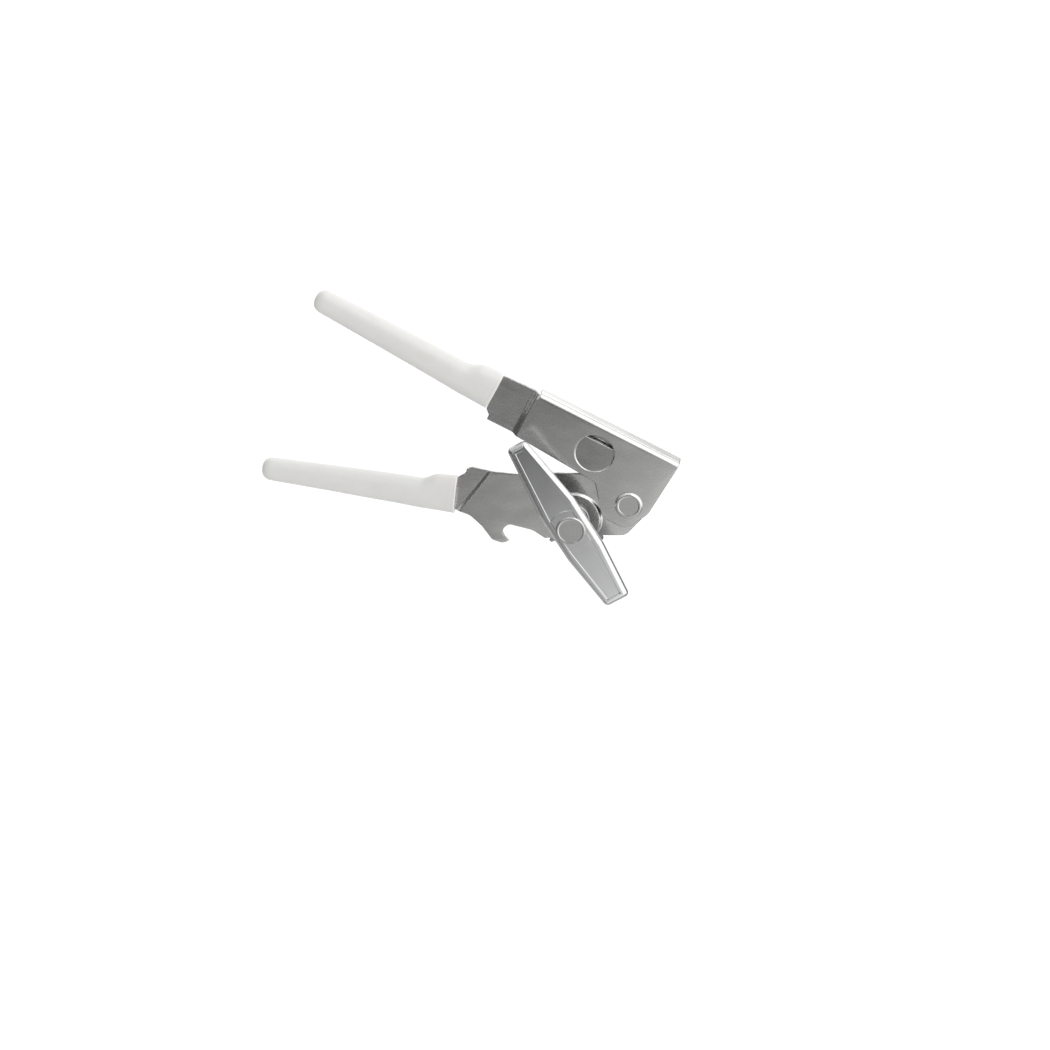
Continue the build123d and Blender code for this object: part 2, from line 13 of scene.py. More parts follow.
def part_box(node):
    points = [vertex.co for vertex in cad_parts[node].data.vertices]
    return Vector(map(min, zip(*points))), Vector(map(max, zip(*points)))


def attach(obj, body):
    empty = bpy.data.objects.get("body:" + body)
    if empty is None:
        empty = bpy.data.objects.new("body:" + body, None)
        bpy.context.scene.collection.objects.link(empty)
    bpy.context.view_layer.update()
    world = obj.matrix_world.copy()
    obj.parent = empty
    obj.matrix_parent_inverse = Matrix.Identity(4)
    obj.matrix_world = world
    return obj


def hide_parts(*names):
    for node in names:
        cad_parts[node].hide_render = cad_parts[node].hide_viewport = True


bl_info = {
    "name": "Can Opener Workshop",
    "version": (1, 0, 0),
    "blender": (4, 5, 0),
    "location": "View3D > Sidebar > Can Opener",
    "description": "Makes the sheet metal, turned parts, gears and grips of a hand can opener",
    "category": "Object",
}

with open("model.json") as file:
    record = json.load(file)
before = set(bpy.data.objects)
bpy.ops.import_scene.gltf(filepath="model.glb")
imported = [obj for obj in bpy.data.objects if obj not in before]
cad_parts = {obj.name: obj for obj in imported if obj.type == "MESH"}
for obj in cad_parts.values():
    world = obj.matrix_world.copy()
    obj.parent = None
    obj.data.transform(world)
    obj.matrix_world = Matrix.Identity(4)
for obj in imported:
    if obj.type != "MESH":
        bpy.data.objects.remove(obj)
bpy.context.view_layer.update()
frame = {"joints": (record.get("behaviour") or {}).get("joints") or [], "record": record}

# ---- places taken from the frame ---------------------------------------------------------------
# Outlines are drawn in millimetres as complex numbers, x to the right and z up. Meshes are metres.
MM = 0.001
JOINTS = {joint["name"]: joint for joint in frame["joints"]}
MOUNTS = {mount["name"]: mount for mount in frame["record"]["mounts"]}


def joint_place(name):
    x, y, z = JOINTS[name]["pos_m"]
    return complex(x, z) / MM


def front_of(node):
    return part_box(node)[0].y / MM


def back_of(node):
    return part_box(node)[1].y / MM


def radius_of(node):
    low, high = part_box(node)
    return (high.x - low.x) / 2 / MM


def centre_of(node):
    low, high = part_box(node)
    return complex(low.x + high.x, low.z + high.z) / 2 / MM


PIVOT = joint_place("handle_pivot")
SHAFT = joint_place("crank_spin")
STUD = joint_place("cutter_spin")
FLANGE_AXIS = MOUNTS["flange_top"]["axis"]
HEAD_TILT = math.atan2(FLANGE_AXIS[0], FLANGE_AXIS[2])
HEAD_TURN = cmath.exp(-1j * HEAD_TILT)
HEAD_FRONT = front_of("upper_handle_plate")
SHEET = front_of("pivot_spacer") - HEAD_FRONT
LOWER_BACK = front_of("feed_thrust_washer")
LOWER_FRONT = LOWER_BACK - SHEET
NECK_SET = LOWER_FRONT - HEAD_FRONT
ARC_STEP = math.radians(6)
ROUND_SEGMENTS = 96
HOLE_SEGMENTS = 48

# Radii of the pins, the bushing's outside and the play of what turns on a pin.
RIVET_SHANK = 3.6
STUD_SHANK = 3.2
SHAFT_SHANK = 3.5
BUSHING_OUTER = 5.2
RUNNING_GAP = 0.05


# ---- sizes and colours that a user would change -------------------------------------------------
def length_property(name, description, millimetres, precision=5):
    return bpy.props.FloatProperty(
        name=name, description=description, default=millimetres * MM, unit="LENGTH", precision=precision
    )


def colour_property(name, description, default):
    return bpy.props.FloatVectorProperty(
        name=name, description=description, subtype="COLOR", size=3, min=0.0, max=1.0, default=default
    )


class SheetSizes(bpy.types.PropertyGroup):
    """Sizes of the two handle plates, in millimetres unless they have a unit."""

    edge_round: length_property("Edge Rounding", "Radius on the sheared edges of both plates", 0.48)
    flange_top: length_property("Flange Height", "Pivot to the top of the head plate's flange", 29.3)
    bend_radius: length_property("Bend Radius", "Outer radius between the head plate and its flange", 2.2)
    seat_radius: length_property("Seat Radius", "Rim of the round recess pressed into the head plate", 9.3)
    seat_depth: length_property("Seat Depth", "How deep the round recess is pressed", 1.0)
    neck_jog: length_property(
        "Neck Jog", "How far the lower neck lies behind its plate", back_of("lower_handle_plate") - LOWER_BACK
    )


class CrankSizes(bpy.types.PropertyGroup):
    """Sizes of the pressed crank."""

    angle: bpy.props.FloatProperty(
        name="Angle",
        description="Direction of the long paddle, from level",
        default=math.radians(122.2),
        subtype="ANGLE",
    )
    long_paddle: length_property("Long Paddle", "Shaft to the tip of the long paddle", 47.6)
    short_paddle: length_property("Short Paddle", "Shaft to the tip of the short paddle", 41.0)
    half_width: length_property("Half Width", "Half the crank's width at the shaft", 9.4)
    edge_round: length_property("Edge Rounding", "Radius drawn round the crank's front edge", 2.2)


class GearSizes(bpy.types.PropertyGroup):
    """Sizes of the two gears and the feed wheel's serrations."""

    module: length_property("Module", "Pitch diameter over tooth count", 1.6)
    feed_teeth: bpy.props.IntProperty(
        name="Feed Gear Teeth", description="Teeth on the crank's gear", default=20, min=8
    )
    cutter_teeth: bpy.props.IntProperty(
        name="Cutter Gear Teeth", description="Teeth on the cutter's gear", default=14, min=8
    )
    serrations: bpy.props.IntProperty(
        name="Serrations", description="Notches round the feed wheel", default=40, min=12
    )


class GripSizes(bpy.types.PropertyGroup):
    """Sizes of the moulded grips."""

    length: length_property("Length", "Neck end to tip", 91.0)
    tip_round: length_property("Tip Rounding", "Length over which the tip rounds off", 4.6)
    unevenness: length_property(
        "Unevenness", "How much the moulded skin wanders from its true shape", 0.09, 6
    )


class Finishes(bpy.types.PropertyGroup):
    """Base colours of the finishes."""

    plate: colour_property("Plated Sheet", "Nickel on the handle plates", (0.62, 0.62, 0.61))
    chrome: colour_property("Crank Chrome", "Bright plating on the crank", (0.66, 0.663, 0.668))
    turned: colour_property("Turned Steel", "Rivets, stud, shaft and washers", (0.64, 0.64, 0.63))
    gear: colour_property("Gear Steel", "Hardened gears and feed wheel", (0.42, 0.42, 0.41))
    tool: colour_property("Cutter Steel", "Ground and hardened cutter", (0.62, 0.62, 0.61))
    grip: colour_property("Grip Skin", "Pale moulded vinyl", (0.61, 0.605, 0.59))


class StageSettings(bpy.types.PropertyGroup):
    """Floor, lights and camera."""

    drop: length_property("Floor Drop", "Floor's distance below the nip", 113)
    distance: bpy.props.FloatProperty(
        name="Camera Distance",
        description="Camera to the middle of its view",
        default=1.29,
        unit="LENGTH",
    )
    view_width: bpy.props.FloatProperty(
        name="View Width",
        description="Width seen at the opener",
        default=0.479,
        unit="LENGTH",
    )
    azimuth: bpy.props.FloatProperty(
        name="Azimuth", description="Camera's turn to the right", default=math.radians(7), subtype="ANGLE"
    )
    elevation: bpy.props.FloatProperty(
        name="Elevation", description="Camera's height angle", default=math.radians(24.4), subtype="ANGLE"
    )
    target: bpy.props.FloatVectorProperty(
        name="Target",
        description="Middle of the view",
        default=(-0.0212, -0.0192, -0.0147),
        subtype="XYZ",
        unit="LENGTH",
    )


# ---- outlines ---------------------------------------------------------------------------------
def swept(centre, start, sweep, steps):
    """Points round a centre from start, in equal steps."""
    return [centre + (start - centre) * cmath.exp(1j * sweep * step / steps) for step in range(steps + 1)]


def rounded(corners):
    """Closed outline from corners (x, z, radius), each turned into an arc."""
    spots = [complex(x, z) for x, z, radius in corners]
    points = []
    for index, (x, z, radius) in enumerate(corners):
        here = spots[index]
        before = here - spots[index - 1]
        after = spots[(index + 1) % len(spots)] - here
        turn = cmath.phase(after / before)
        if radius == 0 or abs(turn) < ARC_STEP / 6:
            points.append(here)
            continue
        before /= abs(before)
        start = here - before * radius * math.tan(abs(turn) / 2)
        centre = start + 1j * before * math.copysign(radius, turn)
        steps = max(3, math.ceil(abs(turn) / ARC_STEP))
        points += swept(centre, start, turn, steps)
    return points


def counterclockwise(points):
    area = sum((points[index - 1].conjugate() * point).imag for index, point in enumerate(points))
    return points if area > 0 else points[::-1]


def circle(centre, radius, count=ROUND_SEGMENTS):
    return [centre + radius * cmath.exp(2j * math.pi * index / count) for index in range(count)]


def inset(points, distance):
    """A counterclockwise outline drawn in by a distance."""
    moved = []
    for index, point in enumerate(points):
        before = point - points[index - 1]
        after = points[(index + 1) % len(points)] - point
        before /= abs(before)
        after /= abs(after)
        inward = 1j * (before + after)
        inward /= abs(inward)
        spread = max(0.5, (inward * (1j * before).conjugate()).real)
        moved.append(point + inward * distance / spread)
    return moved


def arc(centre, start, end):
    """Points from start to end round a centre, the short way."""
    sweep = cmath.phase((end - centre) / (start - centre))
    steps = math.ceil(abs(sweep) / ARC_STEP)
    return swept(centre, start, sweep, steps)


def line_through_circle(start, end, centre, radius):
    """The two points where a line crosses a circle, in the line's direction."""
    along = (end - start) / abs(end - start)
    foot = start + along * ((centre - start) * along.conjugate()).real
    half = math.sqrt(radius**2 - abs(centre - foot) ** 2)
    return foot - along * half, foot + along * half


def square_corners(points):
    return [(point.real, point.imag, 0) for point in points]


# ---- mesh under construction -------------------------------------------------------------------
def eased(front, back, radius, steps=3):
    """Edge profile (inset, depth, wear and painted edge shade) of a sheet with rounded edges."""
    if radius == 0:
        return [(0, front, 0), (0, back, 0)]
    angles = [math.pi / 2 * step / steps for step in range(steps + 1)]
    near = [
        (radius * (1 - math.sin(angle)), front + radius * (1 - math.cos(angle)), math.sin(2 * angle))
        for angle in angles
    ]
    return near + [(drawn, front + back - depth, wear_and_shade) for drawn, depth, wear_and_shade in reversed(near)]


class Shell:
    """Closed mesh in millimetres; each point has a value for wear and painted edge shade, and the grain's
    coordinates.
    """

    def __init__(self):
        self.mesh = bmesh.new()
        self.wear = self.mesh.verts.layers.float.new("wear")
        self.grain = self.mesh.verts.layers.float_vector.new("grain")

    def loop(self, points, depth, wear=0.0):
        ring = []
        for point in points:
            vertex = self.mesh.verts.new((point.real, depth, point.imag))
            vertex[self.wear] = wear
            ring.append(vertex)
        return ring

    def bridge(self, first, second):
        for index in range(len(first)):
            self.mesh.faces.new((first[index - 1], first[index], second[index], second[index - 1]))

    def fill(self, loops):
        vertices = [vertex for ring in loops for vertex in ring]
        for corners in tessellate_polygon([[vertex.co for vertex in ring] for ring in loops]):
            self.mesh.faces.new([vertices[corner] for corner in corners])

    def wall(self, outline, profile, side=1):
        """Loops that follow an edge profile round an outline; returns the first and the last."""
        rings = [self.loop(inset(outline, side * drawn), depth, wear_and_shade) for drawn, depth, wear_and_shade in profile]
        for first, second in zip(rings, rings[1:]):
            self.bridge(first, second)
        return rings[0], rings[-1]

    def stamp(self, outline, profile, holes=(), fronts=(), backs=()):
        """Flat stamping with holes. fronts and backs are loops of patches that are already made."""
        front, back = self.wall(outline, profile)
        front_loops, back_loops = [front, *fronts], [back, *backs]
        for hole, hole_profile in holes:
            near, far = self.wall(hole, hole_profile, -1)
            front_loops.append(near)
            back_loops.append(far)
        self.fill(front_loops)
        self.fill(back_loops)

    def cut(self, direction, places):
        """Adds edges across the whole mesh, so that it can bend there."""
        normal = Vector((direction.real, 0, direction.imag))
        for place in places:
            geometry = self.mesh.verts[:] + self.mesh.edges[:] + self.mesh.faces[:]
            bmesh.ops.bisect_plane(
                self.mesh, geom=geometry, dist=1e-5, plane_co=normal * place, plane_no=normal
            )

    def spin(self, corners, segments=ROUND_SEGMENTS):
        """Round solid about the drawing's origin from a profile's corners (radius, depth, rounding)."""
        profile = rounded(corners)
        rings = []
        for point in profile:
            if point.real < 1e-6:
                rings.append(self.loop([0j], point.imag))
                continue
            ring = self.loop(circle(0, point.real, segments), point.imag)
            for index, vertex in enumerate(ring):
                around = cmath.exp(2j * math.pi * index / segments)
                vertex[self.grain] = (point.real + point.imag, around.real, around.imag)
            rings.append(ring)
        for first, second in zip(rings, rings[1:] + rings[:1]):
            if len(first) == 1 and len(second) == 1:
                continue
            if len(first) == 1 or len(second) == 1:
                pole, ring = (first[0], second) if len(first) == 1 else (second[0], first)
                for index in range(segments):
                    self.mesh.faces.new((ring[index - 1], ring[index], pole))
                pole[self.grain] = (pole.co.y, 0, 0)
                continue
            self.bridge(first, second)

    def worn_corners(self, sharpness=0.12):
        """Wear on the small faces of rounded corners."""
        for vertex in self.mesh.verts:
            turned = max((edge.calc_face_angle(0.0) for edge in vertex.link_edges), default=0.0)
            vertex[self.wear] = max(vertex[self.wear], min(1.0, turned / sharpness - 0.5))


def as_drawn(x, depth, z):
    return x, depth, z


def make_piece(shell, node, finish, form=as_drawn, origin=0j, turn=1, grain=True):
    """Bends and places a finished shell, and puts it in its node's place."""
    for vertex in shell.mesh.verts:
        x, depth, z = vertex.co
        if grain:
            vertex[shell.grain] = (z, x, depth)
        x, depth, z = form(x, depth, z)
        place = origin + turn * complex(x, z)
        vertex.co = Vector((place.real, depth, place.imag)) * MM
    bmesh.ops.recalc_face_normals(shell.mesh, faces=shell.mesh.faces[:])
    for face in shell.mesh.faces:
        face.smooth = True
    mesh = bpy.data.meshes.new(node + "_made")
    shell.mesh.to_mesh(mesh)
    shell.mesh.free()
    mesh.materials.append(bpy.data.materials[finish])
    mesh.set_sharp_from_angle(angle=math.radians(38))
    piece = bpy.data.objects.new(node + "_made", mesh)
    bpy.context.scene.collection.objects.link(piece)
    weighting = piece.modifiers.new("Flat faces stay flat", "WEIGHTED_NORMAL")
    weighting.keep_sharp = True
    weighting.weight = 80
    settle(piece)
    body = next(name for name, nodes in frame["record"]["behaviour"]["bodies"].items() if node in nodes)
    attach(piece, body)
    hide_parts(node)


def settle(piece):
    """Applies a piece's modifiers to its mesh."""
    graph = bpy.context.evaluated_depsgraph_get()
    plain = piece.data
    piece.data = bpy.data.meshes.new_from_object(
        piece.evaluated_get(graph), preserve_all_data_layers=True, depsgraph=graph
    )
    piece.modifiers.clear()
    bpy.data.meshes.remove(plain)
    piece.data.name = piece.name


# ---- shader expressions -------------------------------------------------------------------------
class Value:
    """A node's output, with arithmetic that adds Math nodes."""

    def __init__(self, paint, socket):
        self.paint = paint
        self.socket = socket

    def __add__(self, other):
        return self.paint.math("ADD", self, other)

    def __sub__(self, other):
        return self.paint.math("SUBTRACT", self, other)

    def __rsub__(self, other):
        return self.paint.math("SUBTRACT", other, self)

    def __mul__(self, other):
        return self.paint.math("MULTIPLY", self, other)

    __radd__ = __add__
    __rmul__ = __mul__


class Nodes:
    """A node tree under construction."""

    def __init__(self, tree):
        self.tree = tree

    def node(self, kind, settings=(), inputs=(), output=0):
        made = self.tree.nodes.new(kind)
        for name, value in dict(settings).items():
            setattr(made, name, value)
        for name, value in dict(inputs).items():
            if isinstance(value, Value):
                self.tree.links.new(value.socket, made.inputs[name])
            else:
                made.inputs[name].default_value = value
        return Value(self, made.outputs[output])

    def math(self, operation, first, second):
        return self.node("ShaderNodeMath", {"operation": operation}, {0: first, 1: second})

    def grain(self):
        return self.node("ShaderNodeAttribute", {"attribute_name": "grain"}, output="Vector")

    def wear(self):
        return self.node("ShaderNodeAttribute", {"attribute_name": "wear"}, output="Fac")

    def stretched(self, place, scale):
        return self.node("ShaderNodeVectorMath", {"operation": "MULTIPLY"}, {0: place, 1: scale})

    def separate(self, place):
        return [self.node("ShaderNodeSeparateXYZ", inputs={0: place}, output=axis) for axis in "XYZ"]

    def noise(self, place, scale, detail=3.0, roughness=0.55):
        inputs = {"Vector": place, "Scale": scale, "Detail": detail, "Roughness": roughness}
        return self.node("ShaderNodeTexNoise", inputs=inputs)

    def window(self, value, low, high):
        """0 below low, 1 above high."""
        inputs = {"Value": value, "From Min": low, "From Max": high}
        return self.node("ShaderNodeMapRange", {"clamp": True}, inputs)

    def mix(self, factor, first, second):
        return self.node("ShaderNodeMix", {"data_type": "RGBA"}, {0: factor, 6: first, 7: second}, 2)

    def bump(self, height, distance, strength=1.0, base=None):
        inputs = {"Height": height, "Distance": distance, "Strength": strength}
        if base:
            inputs["Normal"] = base
        return self.node("ShaderNodeBump", inputs=inputs)


class Paint(Nodes):
    """One finish under construction; constants are set on the shader's own sockets."""

    def __init__(self, name, **constants):
        self.material = bpy.data.materials.new(name)
        self.material.use_nodes = True
        super().__init__(self.material.node_tree)
        self.surface = self.tree.nodes["Principled BSDF"]
        for socket, value in constants.items():
            self.surface.inputs[socket.replace("_", " ")].default_value = value

    def feed(self, **values):
        for socket, value in values.items():
            self.tree.links.new(value.socket, self.surface.inputs[socket.replace("_", " ")])


def shade_of(colour, share):
    return (*(min(1.0, channel * share) for channel in colour), 1.0)


def make_metal(name, colour, roughness, streaks, cloudiness, edge_wear_and_shade, pillow, scratch=1.0):
    """Plated or ground metal with its grain, cloudy patches, hairline scratches and edges lightened by wear
    or darkened by painted shade.

    streaks is the grain's frequency (across, along, third) for each millimetre, and pillow says
    how pressing has domed the sheet: the dome's middle (across, along), its radius and its ripple.
    The edge factor is above 1 where handling polishes the edges; below 1 it paints shade along them, besides
    bare sheared steel.
    """
    paint = Paint(name, Metallic=1.0)
    grain = paint.grain()
    fine = paint.noise(paint.stretched(grain, streaks), 1.0, 4.0, 0.6)
    cloud = paint.noise(paint.stretched(grain, (0.09, 0.06, 0.09)), 1.0, 4.0, 0.6)
    slanted = paint.node(
        "ShaderNodeMapping", {"vector_type": "POINT"}, {"Vector": grain, "Rotation": (0.0, 0.0, 0.6)}
    )
    hairs = paint.window(paint.noise(paint.stretched(slanted, (5.0, 0.12, 0.4)), 1.0, 2.0), 0.69, 0.76)
    specks = paint.window(paint.noise(grain, 1.7, 2.0), 0.68, 0.78)
    wear_and_shade = paint.wear() * paint.window(paint.noise(grain, 0.7, 3.0), 0.3, 0.62)
    tone = paint.mix(cloud, shade_of(colour, 1 - cloudiness), shade_of(colour, 1 + cloudiness))
    tone = paint.mix(fine * 0.12, tone, shade_of(colour, 0.82))
    tone = paint.mix(specks * 0.22, tone, shade_of(colour, 0.6))
    # Edges take their own tone: polish from wear where the edge factor is above 1, painted shade where it is
    # below 1.
    tone = paint.mix(wear_and_shade * 0.75, tone, shade_of(colour, edge_wear_and_shade))
    tone = paint.mix(hairs * 0.25 * scratch, tone, shade_of(colour, 1.35))
    rough = roughness + fine * 0.06 + cloud * 0.07 + specks * 0.1 + hairs * 0.08 - wear_and_shade * 0.05
    height = fine * 0.25 + hairs * (-0.5 * scratch) + specks * -0.2
    middle_across, middle_along, dome_radius, ripple = pillow
    parts = paint.separate(grain)
    across, along = parts[0] - middle_across, parts[1] - middle_along
    dome = (across * across + along * along) * (-0.5 / dome_radius)
    swell = dome + ripple * paint.noise(paint.stretched(grain, (0.07, 0.045, 0.07)), 1.0, 1.0)
    normal = paint.bump(swell, MM, 1.0)
    paint.feed(Base_Color=tone, Roughness=rough, Normal=paint.bump(height, 0.00002, 0.35, normal))


def make_grip_skin(name, colour):
    """Soft pale vinyl: faint mottling, rubbed patches, dust in low spots and a fine skin."""
    paint = Paint(name, Subsurface_Weight=0.06, Subsurface_Scale=0.002, Specular_IOR_Level=0.42)
    grain = paint.grain()
    mottle = paint.noise(grain, 0.09, 4.0, 0.6)
    smudge = paint.window(paint.noise(paint.stretched(grain, (0.12, 0.05, 0.1)), 1.0, 5.0, 0.62), 0.5, 0.75)
    dust = paint.window(paint.noise(grain, 1.6, 4.0, 0.7), 0.56, 0.8)
    pores = paint.noise(grain, 3.2, 3.0, 0.6)
    wear_and_shade = paint.wear()
    tone = paint.mix(mottle, shade_of(colour, 0.95), shade_of(colour, 1.03))
    tone = paint.mix(smudge * 0.16, tone, (colour[0] * 0.8, colour[1] * 0.77, colour[2] * 0.7, 1.0))
    tone = paint.mix(dust * 0.12, tone, (colour[0] * 0.72, colour[1] * 0.7, colour[2] * 0.66, 1.0))
    tone = paint.mix(wear_and_shade * 0.7, tone, shade_of(colour, 1.2))
    rough = 0.42 + mottle * 0.12 + smudge * 0.08 - wear_and_shade * 0.1
    height = pores * 0.4 + mottle * 0.6 - dust * 0.25
    paint.feed(Base_Color=tone, Roughness=rough, Normal=paint.bump(height, 0.0001, 0.35))


# ---- sheet metal ---------------------------------------------------------------------------------
TANG_LENGTH = 80.0
TANG_TOP = 4.4
TANG_BOTTOM = -6.4
TANG_TIP = 2.8
HEAD_LEFT = -59.4
NECK_END = -77.9
UPPER_GRIP = (complex(-78.18, 19.4), math.radians(1.1))
LOWER_GRIP = (complex(-80.0, -0.5), math.radians(5.5))
SHAFT_FROM_PIVOT = SHAFT - PIVOT
STUD_FROM_PIVOT = (STUD - PIVOT) / HEAD_TURN
SLOT_CHORD = 5.3
FLOOR_LEAN = 0.08
BOSS_RADIUS = 13.3
BOSS_TOP = 11.6
SHAFT_LOBE = 15.0
JOG_START = HEAD_LEFT - 0.7
JOG_RUN = 2.9
BEND = complex(-71.5, 2.2)
BEND_ACROSS = cmath.exp(-1j * math.radians(36))
BEND_RUN = 2.2


def smooth(share):
    share = min(1.0, max(0.0, share))
    return share * share * (3 - 2 * share)


def tang_corners(grip):
    """Tang inside a grip, from its lower root round to its upper root."""
    origin, slope = grip
    turn = cmath.exp(-1j * slope)
    local = [(0.2, TANG_BOTTOM), (-TANG_LENGTH, -TANG_TIP), (-TANG_LENGTH, TANG_TIP), (0.2, TANG_TOP)]
    return square_corners([origin + turn * complex(x, z) for x, z in local])


class OPENER_OT_head_plate(bpy.types.Operator):
    """Head plate: bent flange, pressed seat with its slot, jogged neck and tang"""

    bl_idname = "opener.head_plate"
    bl_label = "Head Plate"

    def outline(self, fold_start, flange_end):
        relief = HEAD_LEFT - 0.2
        return rounded(
            [
                (11.2, flange_end, 1.0),
                (11.2, fold_start, 0),
                (9.8, 0.0, 9.0),
                (4.6, -11.5, 6.5),
                (-8.2, -11.5, 6.5),
                (-18.6, 2.6, 3.6),
                (HEAD_LEFT, 5.4, 0),
                (NECK_END + 2.3, 5.4, 0.6),
                (NECK_END + 2.3, 7.7, 0.6),
                (NECK_END, 10.0, 0.6),
                *tang_corners(UPPER_GRIP),
                (NECK_END, 28.4, 0.6),
                (relief, fold_start + 2.1, 0),
                (relief, fold_start - 0.3, 0),
                (HEAD_LEFT, fold_start - 0.3, 0),
                (HEAD_LEFT, flange_end, 1.2),
            ]
        )

    def seat(self, shell, sizes):
        """Pressed recess whose floor is cut straight across at the top, which leaves a slot."""
        rim = sizes.seat_radius / MM
        depth = sizes.seat_depth / MM
        floor = rim - 0.66
        half_turn = math.asin(SLOT_CHORD / floor)
        below, above = 72, 24
        start, sweep = math.pi - half_turn, math.pi + 2 * half_turn
        angles = [start + sweep * step / below for step in range(below + 1)]
        angles += [half_turn + (math.pi - 2 * half_turn) * step / above for step in range(1, above)]
        # The rim's values darken its ring on the plated head with painted shade, dimming its reflection.
        section = [(rim, 0, 0), (rim - 0.1, 0.04, 0.4), (rim - 0.22, 0.2, 0.5), (rim - 0.42, 0.76, 0.1)]
        section += [(rim - 0.54, 0.94, 0), (floor, 1, 0)]
        sides = []
        for face in (HEAD_FRONT, HEAD_FRONT + SHEET):
            rings = []
            for radius, share, wear_and_shade in section:
                points = [STUD_FROM_PIVOT + cmath.rect(radius, angle) for angle in angles]
                ring = shell.loop(points, face + depth * share, wear_and_shade)
                for vertex in ring:
                    vertex.co.y += FLOOR_LEAN * share * (vertex.co.z - STUD_FROM_PIVOT.imag)
                rings.append(ring)
            for first, second in zip(rings, rings[1:]):
                shell.bridge(first, second)
            shell.mesh.faces.new(rings[-1][: below + 1])
            sides.append(rings)
        near, far = sides[0][-1], sides[1][-1]
        lip = [shell.mesh.faces.new((near[below], near[0], far[0], far[below]))]
        for index in range(below, len(angles)):
            after = (index + 1) % len(angles)
            lip.append(shell.mesh.faces.new((near[index], near[after], far[after], far[index])))
        chord = [edge for edge in lip[0].edges if set(edge.verts) == {near[below], near[0]}]
        bmesh.ops.bevel(
            shell.mesh, geom=chord, offset=0.3, segments=3, profile=0.5, affect="EDGES", clamp_overlap=True
        )
        return sides[0][0], sides[1][0]

    def execute(self, context):
        sizes = context.scene.opener_sheet
        top = sizes.flange_top / MM
        bend = sizes.bend_radius / MM
        fold_start = top - bend
        fold_length = bend * math.pi / 2
        flange_run = back_of("upper_handle_plate") - HEAD_FRONT - bend
        flange_end = fold_start + fold_length + flange_run
        shell = Shell()
        fronts, backs = self.seat(shell, sizes)
        outline = counterclockwise(self.outline(fold_start, flange_end))
        profile = eased(HEAD_FRONT, HEAD_FRONT + SHEET, sizes.edge_round / MM)
        rivet_hole = circle(0, RIVET_SHANK, HOLE_SEGMENTS)
        hole_profile = eased(HEAD_FRONT, HEAD_FRONT + SHEET, 0)
        shell.stamp(outline, profile, [(rivet_hole, hole_profile)], [fronts], [backs])
        shell.cut(1j, [fold_start + fold_length * step / 8 for step in range(9)])
        shell.cut(-1, [-JOG_START + JOG_RUN * step / 12 for step in range(13)])

        def form(x, depth, z):
            below = depth - HEAD_FRONT
            if x > JOG_START + 0.1:
                if z <= fold_start:
                    return x, depth, z
                angle = min((z - fold_start) / bend, math.pi / 2)
                past = max(0.0, z - fold_start - fold_length)
                reach = bend - below
                y = HEAD_FRONT + bend - reach * math.cos(angle) + past
                return x, y, fold_start + reach * math.sin(angle)
            share = (JOG_START - x) / JOG_RUN
            inside = 0 < share < 1
            slope = NECK_SET / JOG_RUN * 6 * share * (1 - share) if inside else 0.0
            length = math.hypot(1, slope)
            return x - below * -slope / length, HEAD_FRONT + NECK_SET * smooth(share) + below / length, z

        make_piece(shell, "upper_handle_plate", "Plated head", form, PIVOT, HEAD_TURN)
        return {"FINISHED"}


